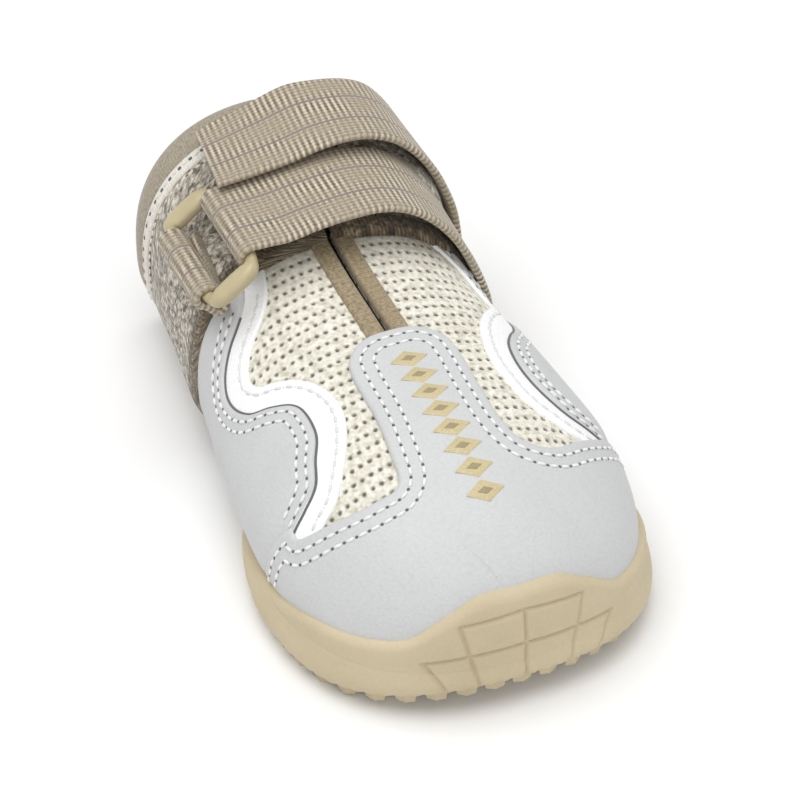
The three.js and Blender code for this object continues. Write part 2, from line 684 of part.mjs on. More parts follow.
const boot = new THREE.Group();
boot.add(
  piece("outsole", toGeometry(outsole()), finishes.rubber),
  piece("insole", toGeometry(insole()), finishes.foam),
  piece("upper", toGeometry(upper()), finishes.mesh),
  piece("shaft", toGeometry(shaft()), finishes.fabric),
  piece("gusset", toGeometry(gusset()), finishes.fabric),
  piece("toe_cap", toGeometry(toeCap()), finishes.leather),
  piece("side_panel_left", toGeometry(sidePanel(-1)), finishes.leather),
  piece("side_panel_right", toGeometry(sidePanel(1)), finishes.leather),
  piece("slit_binding_left", toGeometry(binding(-1)), finishes.tape),
  piece("slit_binding_right", toGeometry(binding(1)), finishes.tape),
  piece("strap_front", toGeometry(frontStrap()), finishes.webbing),
  piece("strap_rear", toGeometry(rearStrap()), finishes.webbing),
  piece("loop_tab", toGeometry(loopTab()), finishes.webbing),
  loop
);

export default boot;
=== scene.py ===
"""A soft dog boot on its sole: moulded cup outsole, perforated mesh upper with a split instep, leather toe
cap and side panels with white piping, knitted shaft, two webbing straps and the plastic loop for the front
one.

Shapes are worked out in millimetres and put into the meshes in metres. +Z is up, the toe points to -Y and
the loop is on the -X side."""

import json
import math

import bpy
import numpy as np
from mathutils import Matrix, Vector

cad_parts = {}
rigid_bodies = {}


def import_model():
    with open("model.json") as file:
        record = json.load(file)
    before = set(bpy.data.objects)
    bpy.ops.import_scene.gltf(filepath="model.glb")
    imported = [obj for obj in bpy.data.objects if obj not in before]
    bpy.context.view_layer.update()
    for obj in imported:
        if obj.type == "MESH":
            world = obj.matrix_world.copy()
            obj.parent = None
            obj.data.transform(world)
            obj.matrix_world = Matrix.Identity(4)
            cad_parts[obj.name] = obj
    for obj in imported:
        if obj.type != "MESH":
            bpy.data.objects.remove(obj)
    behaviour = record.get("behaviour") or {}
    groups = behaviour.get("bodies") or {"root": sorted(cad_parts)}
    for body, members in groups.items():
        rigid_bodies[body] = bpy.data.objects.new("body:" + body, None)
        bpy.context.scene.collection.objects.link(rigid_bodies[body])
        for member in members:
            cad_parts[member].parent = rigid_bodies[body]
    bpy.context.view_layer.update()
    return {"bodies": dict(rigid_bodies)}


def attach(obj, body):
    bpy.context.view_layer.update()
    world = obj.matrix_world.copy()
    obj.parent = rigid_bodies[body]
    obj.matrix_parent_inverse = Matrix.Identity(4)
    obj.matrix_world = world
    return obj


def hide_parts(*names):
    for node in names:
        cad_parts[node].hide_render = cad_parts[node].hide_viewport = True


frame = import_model()

MM = 0.001
ROOT = list(frame["bodies"])[0]

# ---- The last: one surface under the upper, the shaft and everything that lies on them ----
BOOT_LENGTH = 108.0
BALL_WIDTH = 58.0
INSTEP_HEIGHT = 32.0
TOE_Y = -30.0
COLLAR_Y = TOE_Y + BOOT_LENGTH
SEAM_LOW_Y = 38.4
SEAM_LEAN = 0.18

# One row for each section from the toe to the collar: place along the boot as a share of its length, width
# as a share of the ball's, then top, bottom and waist as shares of the instep's height, and the exponents
# of the upper and the lower half of the section.
SECTIONS = np.array([
    [0.0, 0.0, 0.34, 0.34, 0.34, 2.0, 3.0],
    [0.02, 0.44, 0.62, 0.2, 0.33, 2.0, 3.0],
    [0.075, 0.75, 0.79, 0.145, 0.33, 1.9, 3.4],
    [0.165, 0.93, 0.92, 0.14, 0.35, 1.9, 3.8],
    [0.28, 0.995, 0.98, 0.14, 0.38, 1.95, 3.4],
    [0.41, 0.965, 1.0, 0.145, 0.37, 2.05, 2.9],
    [0.53, 0.905, 1.01, 0.13, 0.37, 2.2, 2.9],
    [0.65, 0.835, 1.03, 0.1, 0.4, 2.35, 2.9],
    [0.82, 0.775, 1.12, 0.09, 0.48, 2.35, 3.0],
    [1.0, 0.725, 1.24, 0.1, 0.56, 2.3, 3.0],
])
TOE_MIRROR = SECTIONS[1][[0, 1, 3, 2, 4, 5, 6]] * [1, -1, 1, 1, 1, 1, 1]
SECTION_ROWS = np.vstack([TOE_MIRROR, SECTIONS, SECTIONS[-1]])


def cubic(before, a, b, after, t):
    """The cubic from a to b whose slope at each is half the step between the values on either side of
    it."""
    slope_a, slope_b = (b - before) / 2, (after - a) / 2
    t2, t3 = t * t, t * t * t
    ends = (2 * t3 - 3 * t2 + 1) * a + (3 * t2 - 2 * t3) * b
    return ends + (t3 - 2 * t2 + t) * slope_a + (t3 - t2) * slope_b


def section(share):
    """The last's section at a share of its rows: y, half width, top, bottom and waist in mm, and both
    exponents."""
    at = np.clip(share, 0, 1) * (len(SECTIONS) - 1)
    i = np.minimum(at.astype(int), len(SECTIONS) - 2)
    t = (at - i)[..., None]
    row = cubic(*(SECTION_ROWS[i + k] for k in range(4)), t)
    y = TOE_Y + BOOT_LENGTH * row[..., 0]
    half_width = BALL_WIDTH / 2 * np.maximum(row[..., 1], 0)
    top, bottom, waist = (INSTEP_HEIGHT * row[..., k] for k in (2, 3, 4))
    return y, half_width, top, bottom, waist, row[..., 5], row[..., 6]


SHARE_TABLE = np.linspace(0, 1, 4001)
Y_TABLE = section(SHARE_TABLE)[0]


def share_at(y):
    """The share of the last's rows at a distance y along the boot."""
    return np.interp(y, Y_TABLE, SHARE_TABLE)


def reach_of(c, n, power):
    """How far a superellipse of unit size reaches in a direction (c, n): (|c|^e + |n|^e)^(-1/e) for the
    power e."""
    return (np.abs(c) ** power + np.abs(n) ** power) ** (-1 / power)


def last_point(share, turn):
    """A point of the last. turn is in degrees from the top, positive towards +X. The section is a
    superellipse: the reach of a direction (c, n) is (|c|^e + |n|^e)^(-1/e), stretched by half width and by
    the height above or below the waist."""
    y, half_width, top, bottom, waist, over, under = section(share)
    c, n = np.sin(np.radians(turn)), np.cos(np.radians(turn))
    power = np.where(n >= 0, over, under)
    reach = reach_of(c, n, power)
    height = np.where(n >= 0, top - waist, waist - bottom)
    return np.stack([half_width * c * reach, y + 0 * c, waist + height * n * reach], -1)


def unit(vectors):
    """Vectors brought to length one."""
    return vectors / np.maximum(np.linalg.norm(vectors, axis=-1, keepdims=True), 1e-9)


def last_normal(y, turn):
    """The last's outward normal: the cross product of a small step along the boot and a small step around
    it."""
    share, y_step, turn_step = share_at(y), 1e-3, 0.06
    along = last_point(share + y_step, turn) - last_point(share - y_step, turn)
    around = last_point(share, turn - turn_step) - last_point(share, turn + turn_step)
    return unit(np.cross(along, around))


def on_last(y, turn, offset=0.0):
    """The last's point at y and turn, moved out along the normal by the offset."""
    y, turn, offset = np.broadcast_arrays(*(np.asarray(value, float) for value in (y, turn, offset)))
    return last_point(share_at(y), turn) + offset[..., None] * last_normal(y, turn)


def seam_y(turn):
    """Where the leaning seam of upper and shaft crosses the last at a turn: y is the seam's foot plus its
    lean times the height, which is worked out again at the y found."""
    y = np.full(np.shape(turn), 41.0)
    for _ in range(4):
        y = SEAM_LOW_Y + SEAM_LEAN * on_last(y, turn)[..., 2]
    return y


def turn_over(x, y):
    """The turn of the point of the last's upper half that lies above x, y."""
    _, half_width, _, _, _, over, _ = section(share_at(y))
    across = np.clip(np.abs(x) / half_width, 0, 1)
    rise = (1 - across**over) ** (1 / over)
    return np.sign(x) * np.degrees(np.arctan2(across, rise))


def turn_beside(y, z):
    """The turn of the point on the last's +X side at y and the height z."""
    _, _, top, bottom, waist, over, under = section(share_at(y))
    rise = np.clip((z - waist) / np.where(z >= waist, top - waist, waist - bottom), -1, 1)
    power = np.where(z >= waist, over, under)
    across = (1 - np.abs(rise) ** power) ** (1 / power)
    return np.degrees(np.arctan2(across, rise))


# ---- Tables and curves ----
def between(table, at):
    """The value of a table of (place, value) rows at any places: a cubic between rows, held beyond the
    ends."""
    place, value = np.asarray(table, float).T
    i = np.clip(np.searchsorted(place, at) - 1, 0, len(place) - 2)
    t = np.clip((at - place[i]) / (place[i + 1] - place[i]), 0, 1)
    before = np.where(i == 0, value[1], value[np.maximum(i - 1, 0)])
    after = value[np.minimum(i + 2, len(value) - 1)]
    return cubic(before, value[i], value[i + 1], after, t)


def smooth_step(low, high, value):
    """0 below low, 1 above high, and 3t^2 - 2t^3 between them."""
    t = np.clip((value - low) / (high - low), 0, 1)
    return t * t * (3 - 2 * t)


def through(rows, count):
    """A smooth curve through points, as count points at equal steps of the row number."""
    rows = np.asarray(rows, float)
    ends = [2 * rows[:1] - rows[1:2], rows, 2 * rows[-1:] - rows[-2:-1]]
    padded = np.vstack(ends)
    at = np.linspace(0, len(rows) - 1, count)
    i = np.minimum(at.astype(int), len(rows) - 2)
    return cubic(*(padded[i + k] for k in range(4)), (at - i)[:, None])


def lengths(points):
    """The distance run along a line of points, from 0 at the first."""
    steps = np.linalg.norm(np.diff(points, axis=0), axis=1)
    return np.concatenate([[0], np.cumsum(steps)])


def evenly(curve, points, count):
    """The rows of curve read again at count equal distances along its points in space."""
    run = lengths(points)
    at = np.linspace(0, run[-1], count)
    return np.stack([np.interp(at, run, column) for column in np.asarray(curve).T], -1)


def surface_curve(rows, count):
    """A smooth curve of (y, turn) through rows, evenly spaced on the last."""
    fine = through(rows, 12 * len(rows))
    return evenly(fine, on_last(fine[:, 0], fine[:, 1]), count)


def distance_to(points, line):
    """The distance of each point of a grid to the nearest point of a line, one grid row at a time."""
    return np.stack([np.linalg.norm(row[:, None] - line[None], axis=-1).min(1) for row in points])


# ---- Meshes ----
def quads(rows, columns, wrap=False):
    """The corners of the quads of a grid of points, row after row; wrap joins the last column to the
    first."""
    i = np.arange(rows - 1)[:, None]
    j = np.arange(columns if wrap else columns - 1)[None]
    k = (j + 1) % columns
    corners = [i * columns + j, i * columns + k, (i + 1) * columns + k, (i + 1) * columns + j]
    return np.stack(np.broadcast_arrays(*corners), -1).reshape(-1, 4)


def turned_out(points, faces):
    """Faces in the order that gives the closed skin a positive volume."""
    a, b, c, d = (points[faces[:, k]] for k in range(4))
    volume = (a * np.cross(b, c)).sum() + (a * np.cross(c, d)).sum()
    return faces if volume > 0 else faces[:, ::-1]


def closed_sheet(outer, inner):
    """One closed skin from two grids of points, one over the other, joined round their free sides."""
    rows, columns = outer.shape[:2]
    size = rows * columns
    over = quads(rows, columns)
    number = np.arange(size).reshape(rows, columns)
    rim = np.concatenate([number[0], number[1:, -1], number[-1, -2::-1], number[-2::-1, 0]])
    side = np.stack([rim[1:], rim[:-1], rim[:-1] + size, rim[1:] + size], -1)
    points = np.concatenate([outer.reshape(-1, 3), inner.reshape(-1, 3)])
    return points, turned_out(points, np.concatenate([over, over[:, ::-1] + size, side]))


def sheet_weave(across, along):
    """The weave of a closed sheet: both of its faces carry the same places on the cloth."""
    places = np.stack(np.broadcast_arrays(across, along), -1).reshape(-1, 2)
    return np.vstack([places, places])


def tube(rings):
    """Closed rings of points joined one to the next; each end narrows to its own middle."""
    rows, columns = rings.shape[:2]
    points = np.concatenate([rings.reshape(-1, 3), rings[0].mean(0)[None], rings[-1].mean(0)[None]])
    j = np.arange(columns)
    k = (j + 1) % columns
    first, last = np.full(columns, len(points) - 2), np.full(columns, len(points) - 1)
    base = (rows - 1) * columns
    start = np.stack([k, j, first, first], -1)
    end = np.stack([base + j, base + k, last, last], -1)
    return points, turned_out(points, np.concatenate([quads(rows, columns, wrap=True), start, end]))


def repeated(faces, copies, size):
    """The faces of copies of a shape of so many points, when the copies' points follow one another."""
    return (faces[None] + (np.arange(copies) * size)[:, None, None]).reshape(-1, 4)


def joined(parts):
    """Several (points, faces) as one."""
    starts = np.cumsum([0] + [len(points) for points, _ in parts[:-1]])
    faces = [faces + start for (_, faces), start in zip(parts, starts)]
    return np.concatenate([points for points, _ in parts]), np.concatenate(faces)


def build(name, points, faces, material, slot, replaces=(), weave=None, crease=60):
    """One piece from points in mm and quads, with its finish and the CAD nodes that it stands for; slot is
    not used. A quad whose last two corners are one point is a triangle. weave gives each point its place on
    the cloth in mm."""
    mesh = bpy.data.meshes.new(name)
    flat = faces[:, 2] == faces[:, 3]
    corners = np.concatenate([faces[~flat].ravel(), faces[flat][:, :3].ravel()]).astype(np.int32)
    sizes = np.concatenate([np.full((~flat).sum(), 4), np.full(flat.sum(), 3)]).astype(np.int32)
    starts = np.concatenate([[0], np.cumsum(sizes)[:-1]]).astype(np.int32)
    mesh.vertices.add(len(points))
    mesh.vertices.foreach_set("co", (points * MM).astype(np.float32).ravel())
    mesh.loops.add(len(corners))
    mesh.loops.foreach_set("vertex_index", corners)
    mesh.polygons.add(len(sizes))
    mesh.polygons.foreach_set("loop_start", starts)
    mesh.update(calc_edges=True)
    mesh.validate()
    if weave is not None:
        place = np.zeros((len(points), 3), np.float32)
        place[:, : weave.shape[1]] = weave
        mesh.attributes.new("weave", "FLOAT_VECTOR", "POINT").data.foreach_set("vector", place.ravel())
    mesh.shade_smooth()
    if crease < 180:
        mesh.set_sharp_from_angle(angle=math.radians(crease))
    mesh.materials.append(material)
    piece = bpy.data.objects.new(name, mesh)
    bpy.context.scene.collection.objects.link(piece)
    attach(piece, ROOT)
    if replaces:
        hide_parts(*replaces)
    return piece


# ---- Finishes ----
def finish(name, roughness, **values):
    """A new material with its shader's fixed values, as (material, tree, shader)."""
    material = bpy.data.materials.new(name)
    material.use_nodes = True
    tree = material.node_tree
    shader = tree.nodes["Principled BSDF"]
    shader.inputs["Roughness"].default_value = roughness
    for key, value in values.items():
        shader.inputs[key.replace("_", " ")].default_value = value
    return material, tree, shader


def node(tree, kind, inputs=(), **settings):
    """A node with some settings; inputs pairs a socket with a value or with the socket that feeds it."""
    made = tree.nodes.new("ShaderNode" + kind)
    for key, value in settings.items():
        setattr(made, key, value)
    for socket, value in dict(inputs).items():
        if isinstance(value, bpy.types.NodeSocket):
            tree.links.new(value, made.inputs[socket])
        else:
            made.inputs[socket].default_value = value
    return made


def here(tree):
    """Object coordinates."""
    return node(tree, "TexCoord").outputs["Object"]


def woven(tree):
    """The place on the cloth, in mm."""
    return node(tree, "Attribute", attribute_name="weave").outputs["Vector"]


def noise(tree, vector, scale, detail, roughness=0.5):
    """Cloudy values about 0.5."""
    values = {"Vector": vector, "Scale": scale, "Detail": detail, "Roughness": roughness}
    return node(tree, "TexNoise", values).outputs["Fac"]


def waves(tree, vector, scale, distortion, direction):
    """Bands of a wavy sine across X or Y, from 0 to 1."""
    values = {"Vector": vector, "Scale": scale, "Distortion": distortion, "Detail": 1.0}
    return node(tree, "TexWave", values, bands_direction=direction).outputs["Fac"]


def math_of(tree, operation, *values, clamp=False):
    """One sum on sockets or numbers."""
    return node(tree, "Math", list(enumerate(values)), operation=operation, use_clamp=clamp).outputs[0]


def vector_of(tree, operation, *values):
    """One vector sum; its vector output."""
    return node(tree, "VectorMath", list(enumerate(values)), operation=operation).outputs["Vector"]


def length_of(tree, vector):
    """The length of a vector."""
    return node(tree, "VectorMath", {0: vector}, operation="LENGTH").outputs["Value"]


def ramp(tree, factor, *stops):
    """A colour read from stops of (place, colour)."""
    made = node(tree, "ValToRGB", {"Fac": factor})
    elements = made.color_ramp.elements
    while len(elements) < len(stops):
        elements.new(0.5)
    for element, (place, colour) in zip(elements, stops):
        element.position = place
        element.color = (*colour, 1)
    return made.outputs["Color"]


def spread(tree, value, low, high, bottom=0.0, top=1.0):
    """A value between low and high moved to between bottom and top, and held beyond them."""
    return node(tree, "MapRange", list(enumerate((value, low, high, bottom, top)))).outputs[0]


def mixed(tree, factor, a, b):
    """Two colours mixed by a factor."""
    a, b = (c if isinstance(c, bpy.types.NodeSocket) else (*c, 1) for c in (a, b))
    return node(tree, "Mix", {0: factor, 6: a, 7: b}, data_type="RGBA").outputs[2]


def raised(tree, shader, height, millimetres):
    """A bump as deep as the height's range times some millimetres."""
    values = {"Height": height, "Distance": millimetres * MM, "Strength": 1.0}
    tree.links.new(node(tree, "Bump", values).outputs["Normal"], shader.inputs["Normal"])


def paint(tree, shader, colour):
    """The colour that the shader shows."""
    tree.links.new(colour, shader.inputs["Base Color"])


def leather_finish(name, light, dark):
    """Coated leather: close pebble grain, very faint clouding."""
    material, tree, shader = finish(name, 0.55, Coat_Weight=0.08, Coat_Roughness=0.4)
    values = {"Vector": here(tree), "Scale": 2100.0, "Randomness": 1.0}
    cells = node(tree, "TexVoronoi", values, feature="SMOOTH_F1").outputs["Distance"]
    cloud = noise(tree, here(tree), 120.0, 2.0)
    fine = noise(tree, here(tree), 3200.0, 2.0)
    tone = math_of(tree, "MULTIPLY_ADD", cells, -0.4, math_of(tree, "MULTIPLY_ADD", cloud, 0.3, 0.5))
    paint(tree, shader, ramp(tree, tone, (0.2, dark), (0.7, light)))
    height = math_of(tree, "MULTIPLY_ADD", fine, 0.35, math_of(tree, "MULTIPLY", cells, -1.0))
    raised(tree, shader, height, 0.06)
    return material


def piping_finish():
    """White reflective tape: a fine bead grain under a slight gloss."""
    material, tree, shader = finish("reflective tape", 0.42, Coat_Weight=0.2, Coat_Roughness=0.3)
    grain = noise(tree, here(tree), 3000.0, 2.0)
    paint(tree, shader, ramp(tree, grain, (0.3, (0.86, 0.86, 0.87)), (0.6, (0.97, 0.97, 0.97))))
    raised(tree, shader, grain, 0.03)
    return material


# Steps of the mesh's holes round the boot and along it, and their radius.
DOT_ACROSS, DOT_ALONG = 1.58, 4.8
DOT_RADIUS = 0.34


def mesh_finish():
    """Perforated cream mesh: rows of dark holes, each second row half a step over, and fine knit between
    them."""
    material, tree, shader = finish("spacer mesh", 0.85, Sheen_Weight=0.15)
    cloth = woven(tree)
    cells = vector_of(tree, "DIVIDE", cloth, (DOT_ACROSS, DOT_ALONG, 1.0))
    near = []
    for shift in ((0.5, 0.5, 0.5), (1.0, 1.0, 0.5)):
        part = vector_of(tree, "FRACTION", vector_of(tree, "ADD", cells, shift))
        centred = vector_of(tree, "SUBTRACT", part, (0.5, 0.5, 0.5))
        near.append(length_of(tree, vector_of(tree, "MULTIPLY", centred, (DOT_ACROSS, DOT_ALONG, 1.0))))
    distance = math_of(tree, "MINIMUM", *near)
    wobble = noise(tree, here(tree), 1400.0, 2.0)
    edge = math_of(tree, "MULTIPLY_ADD", wobble, 0.5, math_of(tree, "SUBTRACT", distance, 0.25))
    yarn = waves(tree, cloth, 1.35, 1.6, "X")
    knit = waves(tree, cloth, 0.95, 2.0, "Y")
    thread = math_of(tree, "MULTIPLY", yarn, knit)
    cloud = noise(tree, here(tree), 900.0, 3.0, 0.7)
    tone = math_of(tree, "MULTIPLY_ADD", thread, 0.35, math_of(tree, "MULTIPLY_ADD", cloud, 1.7, -0.5))
    shaded, middle, lit = (0.52, 0.485, 0.38), (0.79, 0.76, 0.65), (0.95, 0.93, 0.85)
    cream = ramp(tree, tone, (0.1, shaded), (0.42, middle), (0.72, lit))
    rim = spread(tree, edge, DOT_RADIUS - 0.16, DOT_RADIUS + 0.2)
    paint(tree, shader, mixed(tree, rim, (0.15, 0.13, 0.10), cream))
    height = math_of(tree, "MULTIPLY_ADD", thread, 0.35, rim)
    raised(tree, shader, height, 0.16)
    return material


def knit_finish(name, dark, mid, light, scale=1.0, cuff=None):
    """Heathered knit: knots of light and dark yarn with dark creases between them. With a cuff, the cloth
    within that many mm of its front edge is a darker brown rib: partly the cuff's own brown and partly
    painted shade of the straps that lie over it."""
    material, tree, shader = finish(name, 0.92, Sheen_Weight=0.25, Sheen_Roughness=0.5)
    cloth = woven(tree)
    values = {"Vector": cloth, "Scale": 0.85 * scale, "Randomness": 0.75}
    knot = node(tree, "TexVoronoi", values, feature="F1").outputs
    fleck = node(tree, "TexVoronoi", {"Vector": cloth, "Scale": 1.5 * scale}, feature="F1").outputs["Color"]
    speck = noise(tree, cloth, 2.2 * scale, 3.0, 0.75)
    tone = math_of(tree, "MULTIPLY_ADD", fleck, 0.45, math_of(tree, "MULTIPLY_ADD", speck, 0.8, 0.1))
    shade = math_of(tree, "MULTIPLY_ADD", knot["Distance"], -0.45, tone)
    colour = ramp(tree, shade, (0.24, dark), (0.48, mid), (0.74, light))
    if cuff:
        parts = node(tree, "SeparateXYZ", {0: cloth}).outputs
        rib = math_of(tree, "SINE", math_of(tree, "MULTIPLY", parts["X"], 2 * math.pi / 0.7))
        ribbed = math_of(tree, "MULTIPLY_ADD", rib, 0.08, shade)
        # Cuff brown, made darker partly by painted shade from the straps over the shaft's front edge.
        low, middle, high = (0.045, 0.033, 0.02), (0.15, 0.115, 0.07), (0.38, 0.31, 0.21)
        brown = ramp(tree, ribbed, (0.2, low), (0.5, middle), (0.8, high))
        colour = mixed(tree, spread(tree, parts["Y"], cuff - 0.6, cuff + 0.8), brown, colour)
    paint(tree, shader, colour)
    height = math_of(tree, "MULTIPLY_ADD", knot["Distance"], -1.4, speck)
    raised(tree, shader, height, 0.25)
    return material


WEBBING_WIDTH = 18.0
RIB = 1.05
# Shares of the width at which the grey threads run.
THREAD_PLACES = (0.3, 0.66)


def webbing_finish():
    """Ribbed webbing: cream yarn over darker ground across the band, strong in some places and flat in
    others, and two grey threads that dip under each rib."""
    material, tree, shader = finish("ribbed webbing", 0.85, Sheen_Weight=0.2, Sheen_Roughness=0.4)
    cloth = woven(tree)
    parts = node(tree, "SeparateXYZ", {0: cloth}).outputs
    bent = vector_of(tree, "MULTIPLY", cloth, (0.5, 0.16, 1.0))
    slip = math_of(tree, "MULTIPLY", noise(tree, bent, 1.0, 2.0), 1.5)
    wave = math_of(tree, "SINE", math_of(tree, "MULTIPLY_ADD", parts["X"], 2 * math.pi / RIB, slip))
    pick = math_of(tree, "SINE", math_of(tree, "MULTIPLY", parts["Y"], 2 * math.pi / 0.8))
    grain = noise(tree, cloth, 3.2, 3.0, 0.7)
    patches = noise(tree, vector_of(tree, "MULTIPLY", cloth, (0.1, 0.16, 1.0)), 1.0, 2.0, 0.6)
    strength = spread(tree, patches, 0.4, 0.66, 0.05, 0.33)
    tone = math_of(tree, "MULTIPLY_ADD", wave, strength, math_of(tree, "MULTIPLY_ADD", grain, 0.75, 0.1))
    tone = math_of(tree, "MULTIPLY_ADD", pick, 0.07, tone)
    ground, middle, yarn = (0.085, 0.065, 0.04), (0.33, 0.275, 0.2), (0.74, 0.67, 0.53)
    base = ramp(tree, tone, (0.08, ground), (0.45, middle), (0.85, yarn))
    steps = [math_of(tree, "SUBTRACT", parts["Y"], place * WEBBING_WIDTH) for place in THREAD_PLACES]
    nearest = math_of(tree, "MINIMUM", *(math_of(tree, "ABSOLUTE", step) for step in steps))
    threads = math_of(tree, "LESS_THAN", nearest, 0.28)
    worn = math_of(tree, "MULTIPLY_ADD", grain, 0.9, 0.15)
    shown = math_of(tree, "MULTIPLY", threads, math_of(tree, "MULTIPLY_ADD", wave, 0.3, worn, clamp=True))
    paint(tree, shader, mixed(tree, shown, base, (0.21, 0.185, 0.2)))
    height = math_of(tree, "MULTIPLY_ADD", pick, 0.25, math_of(tree, "MULTIPLY", grain, 0.9))
    raised(tree, shader, height, 0.1)
    return material


def rubber_finish():
    """Moulded khaki rubber: dull, slowly clouded, with a fine mould texture."""
    material, tree, shader = finish("khaki rubber", 0.62)
    cloud = noise(tree, here(tree), 60.0, 5.0)
    fine = noise(tree, here(tree), 1800.0, 3.0)
    tone = math_of(tree, "MULTIPLY_ADD", fine, 0.3, math_of(tree, "MULTIPLY", cloud, 0.75))
    paint(tree, shader, ramp(tree, tone, (0.25, (0.50, 0.415, 0.265)), (0.8, (0.62, 0.53, 0.36))))
    raised(tree, shader, fine, 0.03)
    return material


def plastic_finish():
    """Moulded khaki plastic, satin, with a fine flow pattern."""
    material, tree, shader = finish("khaki plastic", 0.34, Coat_Weight=0.15, Coat_Roughness=0.25)
    flow = noise(tree, here(tree), 160.0, 3.0)
    fine = noise(tree, here(tree), 2400.0, 2.0)
    paint(tree, shader, ramp(tree, flow, (0.3, (0.43, 0.365, 0.215)), (0.7, (0.54, 0.465, 0.285))))
    raised(tree, shader, fine, 0.012)
    return material


def tape_finish(name, dark, light):
    """Soft woven tape: grain, slow shading and barely any cross rib."""
    material, tree, shader = finish(name, 0.72, Sheen_Weight=0.2)
    cloth = woven(tree)
    ribs = node(tree, "TexWave", {"Vector": cloth, "Scale": 0.55, "Distortion": 1.6}, bands_direction="Y")
    grain = math_of(tree, "MULTIPLY_ADD", noise(tree, cloth, 1.6, 4.0, 0.7), 1.1, -0.1)
    tone = math_of(tree, "MULTIPLY_ADD", ribs.outputs["Fac"], 0.1, grain)
    paint(tree, shader, ramp(tree, tone, (0.2, dark), (0.75, light)))
    raised(tree, shader, tone, 0.07)
    return material


def thread_finish(name, colour, roughness=0.6):
    """Sewing thread with a slight twist of tone."""
    material, tree, shader = finish(name, roughness, Sheen_Weight=0.2)
    twist = noise(tree, here(tree), 3500.0, 2.0)
    paint(tree, shader, ramp(tree, twist, (0.3, tuple(0.8 * c for c in colour)), (0.7, colour)))
    return material


LEATHER = leather_finish("grained leather", (0.612, 0.618, 0.618), (0.53, 0.536, 0.536))
PIPING = piping_finish()
MESH = mesh_finish()
# Dark, middle and light yarn of each knit.
OAT = (0.10, 0.085, 0.065), (0.37, 0.33, 0.265), (0.78, 0.73, 0.63)
BROWN = (0.035, 0.028, 0.02), (0.08, 0.065, 0.05), (0.16, 0.135, 0.105)
GREY_BROWN = (0.06, 0.052, 0.042), (0.15, 0.13, 0.105), (0.27, 0.24, 0.19)
CUFF_WIDTH = 4.2
SHAFT_KNIT = knit_finish("heathered knit", *OAT, cuff=CUFF_WIDTH)
GUSSET_KNIT = knit_finish("gusset knit", *BROWN, scale=1.4)
INSOLE_CLOTH = knit_finish("insole cloth", *GREY_BROWN, scale=1.3)
WEBBING = webbing_finish()
RUBBER = rubber_finish()
PLASTIC = plastic_finish()
SLIT_TAPE = tape_finish("slit tape", (0.12, 0.085, 0.045), (0.46, 0.37, 0.23))
RIM_TAPE = tape_finish("rim tape", (0.20, 0.17, 0.125), (0.43, 0.375, 0.29))
RIM_BAND = tape_finish("rim band", (0.55, 0.51, 0.44), (0.86, 0.83, 0.77))
WHITE_THREAD = thread_finish("white thread", (0.9, 0.9, 0.9))
PALE_THREAD = thread_finish("pale thread", (0.80, 0.80, 0.81))
CREAM_THREAD = thread_finish("cream thread", (0.80, 0.75, 0.64))
GOLD_THREAD = thread_finish("gold thread", (0.62, 0.52, 0.29), 0.45)
KHAKI_THREAD = thread_finish("khaki thread", (0.36, 0.30, 0.17), 0.6)
NEEDLE_HOLE = thread_finish("needle hole", (0.13, 0.135, 0.15), 0.9)
# Dark grey painted shadow: the line that each panel's edge casts on the piping.
PAINTED_SHADOW_LINE = thread_finish("painted shadow line", (0.14, 0.14, 0.145), 0.8)

# ---- Outsole ----
SOLE_WIDTH = 63.0
SOLE_LENGTH = 65.6
SOLE_ROUND = 2.45
SOLE_TAPER = 0.0036
LUG_HEIGHT = 1.6
LUG_PITCH = 4.5
TOE_SPRING = 4.2
HEEL_SPRING = 1.2
SOLE_TOP = 10.5

# Height of the rubber's top edge, by the turn in degrees from the toe seen from above.
LIP_HEIGHTS = [(0, 20.6), (13, 20.3), (24, 17.2), (33, 13.9), (46, 12.6), (62, 11.6), (80, 9.2), (105, 6.6),
        (130, 5.2), (180, 4.6)]
# How far the outline is drawn in at each height.
SOLE_SIDE = [(-3, 1.2), (0.9, 1.2), (3, 0), (5.5, 0.1), (8, 1.1), (SOLE_TOP, 2.6)]


def spring(y):
    """How far the tread lifts off the ground: the square of the way past the level part, at toe and
    heel."""
    toe, heel = np.maximum((-14 - y) / 20, 0), np.maximum((y - 22) / 12, 0)
    return TOE_SPRING * toe**2 + HEEL_SPRING * heel**2


def taper(y):
    """Share of its width that the sole keeps at y: it narrows steadily behind the middle."""
    return 1 - SOLE_TAPER * np.maximum(y, 0)


def plan_radius(heading, inset):
    """Distance from the middle to the sole's outline, a tapered superellipse, at a heading in radians from
    the toe. The taper is read at the y found the time before."""
    along = np.cos(heading) / (SOLE_LENGTH / 2 - inset)
    radius = 0.0
    for _ in range(3):
        half_width = (SOLE_WIDTH / 2 - inset) * taper(-radius * np.cos(heading))
        radius = reach_of(np.sin(heading) / half_width, along, SOLE_ROUND)
    return radius


def around(heading, radius, z):
    """Points at a heading and a distance from the upright axis, and at a height."""
    return np.stack([radius * np.sin(heading), -radius * np.cos(heading), z + 0 * radius], -1)


LEVELS = np.arange(3.0, 24.0, 0.3)


